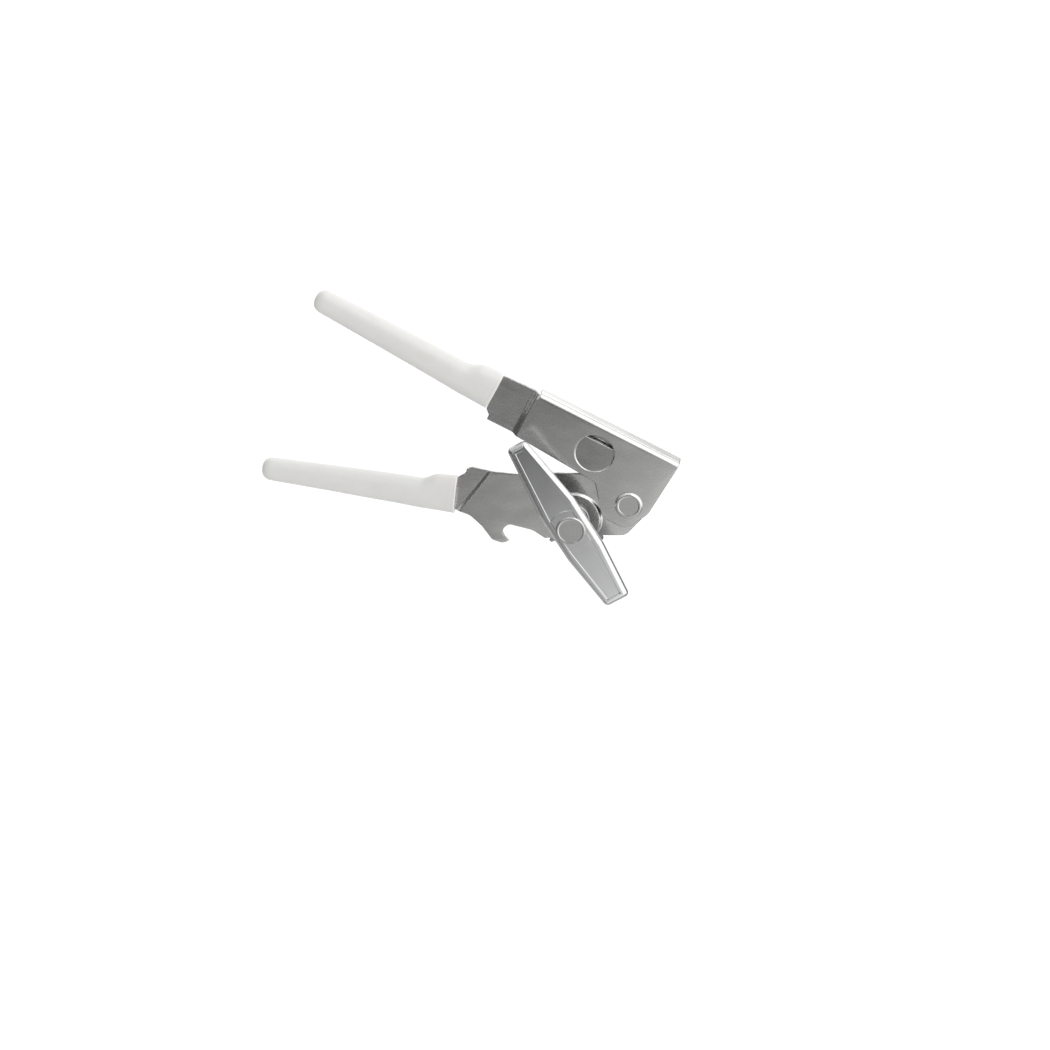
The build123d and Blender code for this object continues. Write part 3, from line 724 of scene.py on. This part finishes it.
class OPENER_OT_lower_plate(bpy.types.Operator):
    """Lower plate: raised boss, slanting jog, cap lifter hook and tang"""

    bl_idname = "opener.lower_plate"
    bl_label = "Lower Plate"

    def outline(self):
        right, left = complex(-11.5, -17.0), complex(-38.8, -19.9)
        leave, rejoin = line_through_circle(right, left, SHAFT_FROM_PIVOT, SHAFT_LOBE)
        lobe = arc(SHAFT_FROM_PIVOT, leave, rejoin)
        return rounded(
            [
                (-75.0, 12.7, 1.6),
                (-72.7, 13.9, 2.6),
                (-65.2, 12.5, 9.0),
                (-50.0, 11.6, 20.0),
                (-33.0, 13.4, 20.0),
                (-12.0, 13.4, 6.0),
                (6.5, 8.2, 7.0),
                (8.6, -4.6, 4.0),
                (-1.4, -16.4, 5.0),
                (right.real, right.imag, 1.0),
                *square_corners(lobe),
                (left.real, left.imag, 0.3),
                (-44.5, -16.2, 7.0),
                (-55.6, -13.8, 2.6),
                (-58.9, -17.0, 2.6),
                (-57.4, -19.9, 0.9),
                (-55.2, -22.2, 0.6),
                (-58.6, -23.5, 3.2),
                (-63.4, -22.0, 2.6),
                (-68.0, -15.6, 8.0),
                (-73.6, -10.3, 8.0),
                (-80.6, -7.9, 0),
                *tang_corners(LOWER_GRIP),
                (-79.1, 8.3, 0),
                (-75.4, 10.8, 1.6),
            ]
        )

    def boss(self, shell):
        """Raised round boss in front, and the bushing's hole through it."""
        height = LOWER_FRONT - front_of("lower_handle_plate")
        # The shoulder's values darken the boss's rim with painted shade, standing in for the dark shade
        # beside the crank.
        section = [(BOSS_RADIUS, 0, 0), (12.95, 0.05, 0.2), (12.6, 0.28, 0.1), (12.1, 0.76, 0.3)]
        section += [(11.88, 0.95, 1), (BOSS_TOP, 1, 0.2), (BUSHING_OUTER, 1, 0)]
        rings = []
        for radius, share, wear_and_shade in section:
            rings.append(shell.loop(circle(SHAFT_FROM_PIVOT, radius), LOWER_FRONT - height * share, wear_and_shade))
        rings.append(shell.loop(circle(SHAFT_FROM_PIVOT, BUSHING_OUTER), LOWER_BACK))
        for first, second in zip(rings, rings[1:]):
            shell.bridge(first, second)
        return rings[0], rings[-1]

    def execute(self, context):
        sizes = context.scene.opener_sheet
        jog = sizes.neck_jog / MM
        shell = Shell()
        fronts, backs = self.boss(shell)
        profile = eased(LOWER_FRONT, LOWER_BACK, sizes.edge_round / MM)
        rivet_hole = (circle(0, RIVET_SHANK + RUNNING_GAP, HOLE_SEGMENTS), eased(LOWER_FRONT, LOWER_BACK, 0))
        shell.stamp(counterclockwise(self.outline()), profile, [rivet_hole], [fronts], [backs])
        bend_place = (BEND * BEND_ACROSS.conjugate()).real
        shell.cut(BEND_ACROSS, [bend_place + BEND_RUN * (step / 8 - 0.5) for step in range(9)])

        def form(x, depth, z):
            across = (complex(x, z) * BEND_ACROSS.conjugate()).real - bend_place
            return x, depth + jog * smooth(0.5 - across / BEND_RUN), z

        make_piece(shell, "lower_handle_plate", "Plated wall", form, PIVOT)
        return {"FINISHED"}


class OPENER_OT_crank(bpy.types.Operator):
    """Crank drawn from sheet: rounded front edge, open back and a sunken panel on each paddle"""

    bl_idname = "opener.crank"
    bl_label = "Crank"

    def outline(self, sizes):
        long_end, short_end = sizes.long_paddle / MM, -sizes.short_paddle / MM
        half = sizes.half_width / MM
        return rounded(
            [
                (long_end, -4.9, 2.3),
                (long_end, 4.9, 2.3),
                (12.5, half, 12.0),
                (-12.5, half, 12.0),
                (short_end, 6.2, 2.3),
                (short_end, -6.2, 2.3),
                (-12.5, -half, 12.0),
                (12.5, -half, 12.0),
            ]
        )

    def panel(self, sizes, side):
        """Sunken panel on one paddle, hollowed round the hub at its inner end."""
        length = (sizes.long_paddle if side > 0 else sizes.short_paddle) / MM
        tip = 2.1 if side > 0 else 3.4
        margin = 3.3
        hub, root = 9.9, sizes.half_width / MM - margin
        reach = length - margin
        spread = math.asin(root / hub)
        inner = [cmath.rect(hub, spread * share / 4) for share in (3, 2, 1, 0, -1, -2, -3)]
        start = hub * math.cos(spread)
        corners = [(start, -root, 0.3), (reach, -tip, 0.9), (reach, tip, 0.9), (start, root, 0.3)]
        corners += square_corners(inner)
        return counterclockwise([point * side for point in rounded(corners)])

    def sunken(self, shell, outline, face):
        section = [(0, 0, 0), (0.05, 0.02, 0), (0.11, 0.08, 0), (0.17, 0.14, 0), (0.24, 0.16, 0)]
        rim, floor = shell.wall(outline, [(drawn, face + sunk, wear_and_shade) for drawn, sunk, wear_and_shade in section])
        shell.fill([floor])
        return rim

    def execute(self, context):
        sizes = context.scene.opener_crank
        front, back = front_of("crank_handle"), back_of("crank_handle")
        radius = sizes.edge_round / MM
        lip, inner = SHEET / 2, 0.7
        angles = [math.pi / 2 * step / 6 for step in range(7)]
        turns = [(1 - math.sin(angle), 1 - math.cos(angle), math.sin(2 * angle)) for angle in angles]
        profile = [(radius * near, front + radius * far, 0.7 * wear_and_shade) for near, far, wear_and_shade in turns]
        profile += [(lip * far, back - lip * near, 0.6) for near, far, wear_and_shade in turns[1::2]]
        profile += [(SHEET - lip * near, back - lip * far, 0.6) for near, far, wear_and_shade in turns[2::2]]
        profile += [(SHEET + inner * far, front + SHEET + inner * near, 0) for near, far, wear_and_shade in turns[::2]]
        shell = Shell()
        panels = [self.panel(sizes, side) for side in (1, -1)]
        fronts = [self.sunken(shell, panel, front) for panel in panels]
        backs = [self.sunken(shell, panel, front + SHEET) for panel in panels]
        bore = (circle(0, SHAFT_SHANK, HOLE_SEGMENTS), eased(front, front + SHEET, 0))
        shell.stamp(counterclockwise(self.outline(sizes)), profile, [bore], fronts, backs)
        turn = cmath.exp(1j * sizes.angle)
        make_piece(shell, "crank_handle", "Crank chrome", as_drawn, SHAFT, turn)
        return {"FINISHED"}


# ---- turned parts ------------------------------------------------------------------------------
# Rings start this far behind their true front, so that faces that only touch don't coincide.
SIDE_PLAY = 0.02


def turned(node, slot, finish, corners):
    shell = Shell()
    shell.spin(corners)
    shell.worn_corners()
    make_piece(shell, node, finish, as_drawn, centre_of(node), 1, False)


def ring_corners(node, bore, rounding):
    front, back, radius = front_of(node) + SIDE_PLAY, back_of(node), radius_of(node)
    return [(bore, front, 0), (radius, front, rounding), (radius, back, rounding), (bore, back, 0)]


class OPENER_OT_rivets(bpy.types.Operator):
    """Pivot rivet, cutter stud and crank shaft with their headed ends"""

    bl_idname = "opener.rivets"
    bl_label = "Rivets and Shaft"

    def rear_head(self, node, shank, seat):
        radius = 5.2 if node == "drive_shaft" else 5.0
        back = back_of(node)
        return [
            (shank, seat, 0),
            (radius, seat, 0.15),
            (radius - 0.5, back, 0.7),
            (1.4, back, 0.3),
            (1.1, back - 0.2, 0.2),
            (0, back - 0.2, 0),
        ]

    def execute(self, context):
        front = front_of("pivot_rivet")
        head = radius_of("pivot_rivet")
        face = [(0, front + 0.14, 0), (4.5, front + 0.14, 0.3), (4.85, front, 0.3), (head - 0.7, front, 0.6)]
        neck = [(head, front + 0.8, 0.5), (head, HEAD_FRONT, 0.1), (RIVET_SHANK, HEAD_FRONT, 0)]
        rear = self.rear_head("pivot_rivet", RIVET_SHANK, back_of("pivot_rear_washer"))
        turned("pivot_rivet", "turned_steel", "Turned steel", face + neck + rear)

        front = front_of("cutter_stud")
        step = front_of("cutter_thrust_washer")
        base = [(0, front, 0), (4.0, front, 0), (4.0, step, 0.1), (STUD_SHANK, step, 0)]
        rear = self.rear_head("cutter_stud", STUD_SHANK, back_of("cutter_rear_washer"))
        turned("cutter_stud", "turned_steel", "Turned steel", base + rear)

        front = front_of("drive_shaft")
        seat = front_of("crank_handle")
        head = radius_of("drive_shaft")
        face = [(0, front + 0.12, 0), (5.5, front + 0.12, 0.2), (5.8, front, 0.2), (head - 0.3, front, 0.3)]
        neck = [(head, seat, 0.05), (SHAFT_SHANK, seat, 0)]
        rear = self.rear_head("drive_shaft", SHAFT_SHANK, back_of("feed_wheel"))
        turned("drive_shaft", "turned_steel", "Turned steel", face + neck + rear)
        return {"FINISHED"}


class OPENER_OT_washers(bpy.types.Operator):
    """Washers, spacer, collar, hub and the shaft's bushing"""

    bl_idname = "opener.washers"
    bl_label = "Washers and Bushing"

    def execute(self, context):
        bores = {
            "pivot_spacer": RIVET_SHANK,
            "pivot_rear_washer": RIVET_SHANK,
            "cutter_thrust_washer": STUD_SHANK,
            "cutter_rear_washer": STUD_SHANK,
            "crank_washer": SHAFT_SHANK,
            "crank_collar": SHAFT_SHANK,
            "feed_thrust_washer": SHAFT_SHANK + RUNNING_GAP,
            "cutter_hub": STUD_SHANK + RUNNING_GAP,
        }
        for node, bore in bores.items():
            thickness = back_of(node) - front_of(node)
            turned(node, "turned_steel", "Turned steel", ring_corners(node, bore, min(0.3, thickness / 4)))
        front, back = front_of("shaft_bushing"), back_of("shaft_bushing")
        shoulder = front_of("lower_handle_plate")
        radius = radius_of("shaft_bushing")
        bore = SHAFT_SHANK + RUNNING_GAP
        corners = [(bore, front, 0), (radius, front, 0.2), (radius, shoulder, 0.1)]
        corners += [(BUSHING_OUTER, shoulder, 0), (BUSHING_OUTER, back, 0), (bore, back, 0)]
        turned("shaft_bushing", "turned_steel", "Turned steel", corners)
        return {"FINISHED"}


# ---- gears and wheels ------------------------------------------------------------------------------
def involute(angle):
    return math.tan(angle) - angle


def gear_outline(module, teeth, first_tooth):
    """Spur gear about the drawing's origin; one tooth points along first_tooth."""
    pitch = module * teeth / 2
    pressure = math.radians(20)
    base = pitch * math.cos(pressure)
    tooth = math.pi / (2 * teeth) - 0.15 / pitch
    root, tip = pitch - 1.4, pitch + 1.05
    start = max(root + 0.35, base)
    steps = 6

    def half_angle(radius):
        return tooth + involute(pressure) - involute(math.acos(min(1.0, base / radius)))

    flank = [start + (tip - start) * step / steps for step in range(steps + 1)]
    points = []
    for index in range(teeth):
        middle = first_tooth + 2 * math.pi * index / teeth
        foot = half_angle(start) + math.radians(1.2)
        points.append(cmath.rect(root, middle - foot))
        points += [cmath.rect(radius, middle - half_angle(radius)) for radius in flank]
        points.append(cmath.rect(tip, middle))
        points += [cmath.rect(radius, middle + half_angle(radius)) for radius in reversed(flank)]
        points.append(cmath.rect(root, middle + foot))
    return points


class OPENER_OT_gears(bpy.types.Operator):
    """The crank's gear and the cutter's gear, which mesh with the handles closed"""

    bl_idname = "opener.gears"
    bl_label = "Gears"

    def closing(self, distance):
        """The stud's place with the gears in mesh, and how far the head turns to bring it there."""
        arm, span = abs(STUD - PIVOT), abs(SHAFT - PIVOT)
        corner = math.acos((arm**2 + span**2 - distance**2) / (2 * arm * span))
        closed = cmath.phase(SHAFT - PIVOT) % (2 * math.pi) - corner
        return PIVOT + cmath.rect(arm, closed), closed - cmath.phase(STUD - PIVOT)

    def execute(self, context):
        sizes = context.scene.opener_gears
        module = sizes.module / MM
        distance = module * (sizes.feed_teeth + sizes.cutter_teeth) / 2
        closed, travel = self.closing(distance)
        mesh_direction = cmath.phase(closed - SHAFT)
        first_gap = mesh_direction + math.pi - travel + math.pi / sizes.cutter_teeth
        gears = (
            ("feed_gear", sizes.feed_teeth, mesh_direction, SHAFT, SHAFT_SHANK),
            ("cutter_gear", sizes.cutter_teeth, first_gap, STUD, STUD_SHANK + RUNNING_GAP),
        )
        for node, teeth, first_tooth, centre, bore in gears:
            front, back = front_of(node), back_of(node)
            shell = Shell()
            bore_wall = (circle(0, bore, HOLE_SEGMENTS), eased(front, back, 0))
            shell.stamp(gear_outline(module, teeth, first_tooth), eased(front, back, 0.18, 2), [bore_wall])
            make_piece(shell, node, "Gear steel", as_drawn, centre)
        return {"FINISHED"}


class OPENER_OT_wheels(bpy.types.Operator):
    """Serrated feed wheel and round cutter"""

    bl_idname = "opener.wheels"
    bl_label = "Feed Wheel and Cutter"

    def serrated(self, radius, notches):
        """Feed wheel's rim, with a land, a rounded notch and sloping flanks at each step."""
        step = 2 * math.pi / notches
        points = []
        for notch in range(notches):
            angle = math.pi / 2 + notch * step
            for share, drop in ((-0.22, 0), (0.22, 0), (0.42, 0.6), (0.5, 0.7), (0.58, 0.6)):
                points.append(cmath.rect(radius - drop, angle + share * step))
        return points

    def execute(self, context):
        front, back = front_of("feed_wheel"), back_of("feed_wheel")
        shell = Shell()
        rim = self.serrated(abs(SHAFT), context.scene.opener_gears.serrations)
        bore = (circle(0, SHAFT_SHANK, HOLE_SEGMENTS), eased(front, back, 0))
        shell.stamp(rim, eased(front, back, 0.14, 2), [bore])
        make_piece(shell, "feed_wheel", "Gear steel", as_drawn, SHAFT)

        front, back = front_of("cutter_wheel"), back_of("cutter_wheel")
        radius = radius_of("cutter_wheel")
        bore = STUD_SHANK + RUNNING_GAP
        corners = [(bore, front, 0), (radius, front, 0), (radius, front + 0.25, 0.1)]
        corners += [(radius - 2.6, back, 0.4), (bore, back, 0)]
        turned("cutter_wheel", "tool_steel", "Cutter steel", corners)
        return {"FINISHED"}


# ---- grips ---------------------------------------------------------------------------------------
GRIP_AROUND = 64
GRIP_SQUARENESS = 2.7
GRIP_STATIONS = (
    # distance from the neck, top, bottom, half depth
    (0.0, 9.05, -9.05, 4.85),
    (1.6, 9.0, -9.0, 4.85),
    (7.0, 8.6, -8.75, 4.9),
    (10.5, 8.2, -8.65, 4.9),
    (13.2, 6.7, -8.6, 4.85),
    (16.0, 5.5, -8.5, 4.8),
    (21.0, 5.45, -8.2, 4.75),
    (34.0, 5.55, -7.5, 4.65),
    (53.0, 5.5, -6.65, 4.5),
    (72.0, 5.3, -5.85, 4.3),
    (91.0, 5.05, -5.1, 4.15),
)


def between_stations(distance):
    """Grip's top, bottom and half depth at a distance, on a smooth line through its stations."""
    last = len(GRIP_STATIONS) - 1
    after = next((i for i, station in enumerate(GRIP_STATIONS) if station[0] >= distance), last)
    after = max(after, 1)
    first, second = GRIP_STATIONS[after - 1], GRIP_STATIONS[after]
    before = GRIP_STATIONS[max(after - 2, 0)]
    beyond = GRIP_STATIONS[min(after + 1, last)]
    span = second[0] - first[0]
    share = (distance - first[0]) / span
    values = []
    for column in (1, 2, 3):
        start_slope = (second[column] - before[column]) / (second[0] - before[0]) * span
        end_slope = (beyond[column] - first[column]) / (beyond[0] - first[0]) * span
        low, high = first[column], second[column]
        square, cube = share**2, share**3
        value = low * (2 * cube - 3 * square + 1) + high * (3 * square - 2 * cube)
        value += start_slope * (cube - 2 * square + share) + end_slope * (cube - square)
        values.append(value)
    return values


class OPENER_OT_grips(bpy.types.Operator):
    """Both moulded grips, with their rolled mouths, collars and rounded tips"""

    bl_idname = "opener.grips"
    bl_label = "Grips"

    def ring(self, shell, distance, top, bottom, half_depth, wear=0.0, squareness=GRIP_SQUARENESS):
        """One section of a grip: a soft rounded rectangle."""
        middle, half = (top + bottom) / 2, (top - bottom) / 2
        vertices = []
        for index in range(GRIP_AROUND):
            angle = 2 * math.pi * index / GRIP_AROUND
            across, up = math.cos(angle), math.sin(angle)
            y = half_depth * math.copysign(abs(across) ** (2 / squareness), across)
            z = middle + half * math.copysign(abs(up) ** (2 / squareness), up)
            vertex = shell.mesh.verts.new((-distance, y, z))
            vertex[shell.wear] = wear
            vertices.append(vertex)
        return vertices

    def body(self, sizes):
        shell = Shell()
        length, tip = sizes.length / MM, sizes.tip_round / MM
        rings = []
        top, bottom, depth = between_stations(0)
        # The mouth turns in round the tang, from its floor out to the rolled lip.
        mouth = ((2.2, 3.4, 0), (0.5, 3.2, 0), (0.22, 2.4, 0.1), (0.05, 1.2, 0.4))
        lip = ((0.0, 0.6, 0.9), (0.12, 0.2, 1.0), (0.42, 0.0, 1.0))
        for distance, drawn, wear in mouth + lip:
            rings.append(self.ring(shell, distance, top - drawn, bottom + drawn, depth - drawn, wear))
        distances = [0.9, 1.3, 1.8] + [2.5 + 0.75 * step for step in range(28)]
        body_end = length - tip
        step_count = 42
        start = distances[-1]
        distances += [start + (body_end - start) * step / step_count for step in range(1, step_count + 1)]
        for distance in distances:
            top, bottom, depth = between_stations(distance)
            groove = 0.16 * math.exp(-(((distance - 1.5) / 0.35) ** 2))
            wear = max(0.0, 1 - distance / 1.2)
            rings.append(self.ring(shell, distance, top - groove, bottom + groove, depth - groove, wear))
        for step in range(1, 12):
            angle = math.pi / 2 * step / 12
            distance = body_end + tip * math.sin(angle)
            top, bottom, depth = between_stations(distance)
            middle, half = (top + bottom) / 2, (top - bottom) / 2
            keep = math.cos(angle) ** 0.72
            squareness = GRIP_SQUARENESS - 0.5 * (1 - keep)
            upper, lower = middle + half * keep, middle - half * keep
            rings.append(self.ring(shell, distance, upper, lower, depth * keep, 0, squareness))
        for first, second in zip(rings, rings[1:]):
            shell.bridge(first, second)
        shell.mesh.faces.new(rings[0])
        top, bottom, depth = between_stations(length)
        pole = shell.mesh.verts.new((-length, 0, (top + bottom) / 2))
        for index in range(GRIP_AROUND):
            shell.mesh.faces.new((rings[-1][index - 1], rings[-1][index], pole))
        return shell

    def roughen(self, shell, amount, seed):
        """A moulded skin is never quite true: it wanders over centimetres and ripples over millimetres."""
        for vertex in shell.mesh.verts:
            place = Vector((vertex.co.x * 0.07 + seed, vertex.co.y * 0.16, vertex.co.z * 0.16))
            fine = Vector((vertex.co.x * 0.4 + seed, vertex.co.y * 0.4, vertex.co.z * 0.4))
            settle_in = smooth(-vertex.co.x / 4)
            swell = noise.noise(place) + 0.25 * noise.noise(fine) - 0.5
            vertex.co.y *= 1 + swell * amount / 4.6 * settle_in
            vertex.co.z += swell * amount * settle_in * math.copysign(1, vertex.co.z) * 0.6

    def execute(self, context):
        sizes = context.scene.opener_grips
        grips = (("upper_grip", UPPER_GRIP, HEAD_TURN, 3.0), ("lower_grip", LOWER_GRIP, 1, 11.0))
        for node, (origin, slope), turn, seed in grips:
            shell = self.body(sizes)
            self.roughen(shell, sizes.unevenness / MM, seed)
            middle = (front_of(node) + back_of(node)) / 2
            for vertex in shell.mesh.verts:
                vertex.co.y += middle
            place = PIVOT + turn * origin
            along = turn * cmath.exp(-1j * slope)
            make_piece(shell, node, "Grip skin", as_drawn, place, along)
        return {"FINISHED"}


# ---- finishes and stage ------------------------------------------------------------------------------
class OPENER_OT_finishes(bpy.types.Operator):
    """Plated, chromed, turned, hardened and moulded finishes"""

    bl_idname = "opener.finishes"
    bl_label = "Finishes"

    def execute(self, context):
        colours = context.scene.opener_finishes
        flat = (0.0, 0.0, 1e6, 0.0)
        head_dome, wall_dome = (4.0, -16.0, 900.0, 0.22), (-3.0, -60.0, 1300.0, 0.22)
        crank_dome = (0.0, 8.0, 680.0, 0.12)
        # The plates' edge factor of 0.25 paints shade along their edges and rims, standing in for the dark
        # gap beside them, besides bare sheared steel.
        make_metal("Plated head", colours.plate, 0.2, (2.6, 0.05, 1.0), 0.1, 0.25, head_dome)
        make_metal("Plated wall", colours.plate, 0.2, (2.6, 0.05, 1.0), 0.1, 0.25, wall_dome)
        make_metal("Crank chrome", colours.chrome, 0.14, (3.0, 0.06, 1.0), 0.07, 1.25, crank_dome, 0.6)
        make_metal("Turned steel", colours.turned, 0.2, (4.0, 0.2, 0.2), 0.1, 1.2, flat)
        make_metal("Gear steel", colours.gear, 0.3, (1.2, 0.9, 0.9), 0.2, 1.6, flat)
        make_metal("Cutter steel", colours.tool, 0.16, (5.0, 0.4, 0.4), 0.1, 1.2, flat)
        make_grip_skin("Grip skin", colours.grip)
        return {"FINISHED"}


class OPENER_OT_stage(bpy.types.Operator):
    """Pale floor, soft lights and the camera"""

    bl_idname = "opener.stage"
    bl_label = "Stage"

    def light(self, name, place, size, power, aim):
        lamp = bpy.data.lights.new(name, "AREA")
        lamp.shape = "RECTANGLE"
        lamp.size, lamp.size_y = size
        lamp.energy = power
        holder = bpy.data.objects.new(name, lamp)
        holder.location = place
        holder.rotation_euler = (Vector(aim) - Vector(place)).to_track_quat("-Z", "Y").to_euler()
        bpy.context.scene.collection.objects.link(holder)

    def floor(self, drop):
        """Large floor that curves up gently far behind the object."""
        shell = bmesh.new()
        reach, rise = 6.0, 2.0
        section = [(-reach, -drop), (reach * 0.5, -drop)]
        for degrees in range(10, 91, 10):
            angle = math.radians(degrees)
            section.append((reach * 0.5 + rise * math.sin(angle), -drop + rise * (1 - math.cos(angle))))
        rows = [[shell.verts.new((x, y, z)) for x in (-reach, reach)] for y, z in section]
        for first, second in zip(rows, rows[1:]):
            shell.faces.new((first[0], first[1], second[1], second[0])).smooth = True
        mesh = bpy.data.meshes.new("studio_floor")
        shell.to_mesh(mesh)
        shell.free()
        floor = bpy.data.objects.new("studio_floor", mesh)
        bpy.context.scene.collection.objects.link(floor)
        paint = Paint("Studio paper", Roughness=0.9, Specular_IOR_Level=0.1)
        place = paint.node("ShaderNodeTexCoord", output="Object")
        shade = paint.noise(place, 2.0, 3.0)
        paint.feed(Base_Color=paint.mix(shade, (0.86, 0.86, 0.86, 1), (0.89, 0.89, 0.89, 1)))
        mesh.materials.append(paint.material)
        floor.visible_glossy = False

    def surroundings(self, scene):
        """Soft room for the metals to mirror, in patches of light. The camera sees it plain and pale."""
        world = bpy.data.worlds.new("Studio")
        world.use_nodes = True
        room = Nodes(world.node_tree)
        x, y, z = room.separate(room.node("ShaderNodeTexCoord", output="Generated"))
        overhead = 0.62 * room.window(z, 0.2, 0.42)
        rear = 0.9 * room.window(y, 0.5, 0.75) * room.window(z, 0.16, 0.3)
        right = 1.5 * room.window(x, 0.12, 0.35) * room.window(0.0 - y, -0.3, 0.0)
        right = right * room.window(z, -0.6, -0.3)
        below = 0.4 * room.window(0.0 - z, 0.45, 0.75)
        front = room.window(0.0 - y, 0.3, 0.7) * room.window(0.0 - z, 0.2, 0.43)
        left = 1.3 * room.window(0.0 - x, 0.3, 0.35) * room.window(x, -0.46, -0.4)
        left = left * room.window(z, -0.38, -0.33) * room.window(0.0 - y, 0.3, 0.7)
        table = 0.8 * front * room.window(x, -0.25, 0.05)
        flanks = room.window(0.0 - x, -0.25, 0.1) + room.window(x, 0.55, 0.75)
        behind = 0.45 * room.window(y, 0.3, 0.7) * flanks
        light = 0.1 + overhead + rear + behind + right + left + below + table
        seen = room.node("ShaderNodeLightPath", output="Is Camera Ray")
        shown = room.mix(seen, light, (0.95, 0.95, 0.95, 1.0))
        world.node_tree.links.new(shown.socket, world.node_tree.nodes["Background"].inputs["Color"])
        scene.world = world

    def execute(self, context):
        stage = context.scene.opener_stage
        self.floor(stage.drop)
        target = Vector(stage.target)
        self.light("overhead_softbox", (0.0, -0.1, 1.5), (1.6, 1.6), 4, target)
        self.light("rear_softbox", (0.5, 1.5, 0.75), (1.8, 0.9), 2, target)
        self.light("right_softbox", (1.5, -0.5, 0.45), (0.9, 0.9), 1, target)
        self.surroundings(context.scene)
        context.scene.view_settings.view_transform = "Standard"

        camera = bpy.data.cameras.new("camera")
        holder = bpy.data.objects.new("camera", camera)
        level = math.cos(stage.elevation)
        arm = Vector(
            (
                math.sin(stage.azimuth) * level,
                -math.cos(stage.azimuth) * level,
                math.sin(stage.elevation),
            )
        )
        holder.location = target + arm * stage.distance
        holder.rotation_euler = (-arm).to_track_quat("-Z", "Y").to_euler()
        camera.angle = 2 * math.atan(stage.view_width / 2 / stage.distance)
        context.scene.collection.objects.link(holder)
        context.scene.camera = holder
        return {"FINISHED"}


# ---- panel and registration ------------------------------------------------------------------------
SETTINGS = {
    "opener_sheet": SheetSizes,
    "opener_crank": CrankSizes,
    "opener_gears": GearSizes,
    "opener_grips": GripSizes,
    "opener_finishes": Finishes,
    "opener_stage": StageSettings,
}
OPERATORS = (
    OPENER_OT_finishes,
    OPENER_OT_head_plate,
    OPENER_OT_lower_plate,
    OPENER_OT_crank,
    OPENER_OT_rivets,
    OPENER_OT_washers,
    OPENER_OT_gears,
    OPENER_OT_wheels,
    OPENER_OT_grips,
    OPENER_OT_stage,
)


class OPENER_PT_workshop(bpy.types.Panel):
    """Lists the sizes, finishes and making steps of the can opener"""

    bl_idname = "OPENER_PT_workshop"
    bl_label = "Can Opener"
    bl_space_type = "VIEW_3D"
    bl_region_type = "UI"
    bl_category = "Can Opener"

    def draw(self, context):
        for name, group in SETTINGS.items():
            box = self.layout.box()
            for setting in group.__annotations__:
                box.prop(getattr(context.scene, name), setting)
        for operator in OPERATORS:
            self.layout.operator(operator.bl_idname)


CLASSES = (*SETTINGS.values(), *OPERATORS, OPENER_PT_workshop)


def register():
    for item in CLASSES:
        bpy.utils.register_class(item)
    for name, group in SETTINGS.items():
        setattr(bpy.types.Scene, name, bpy.props.PointerProperty(type=group))


def unregister():
    for name in SETTINGS:
        delattr(bpy.types.Scene, name)
    for item in reversed(CLASSES):
        bpy.utils.unregister_class(item)


def main():
    register()
    for operator in OPERATORS:
        namespace, step = operator.bl_idname.split(".")
        getattr(getattr(bpy.ops, namespace), step)()
    bpy.context.view_layer.update()


if __name__ == "__main__":
    main()
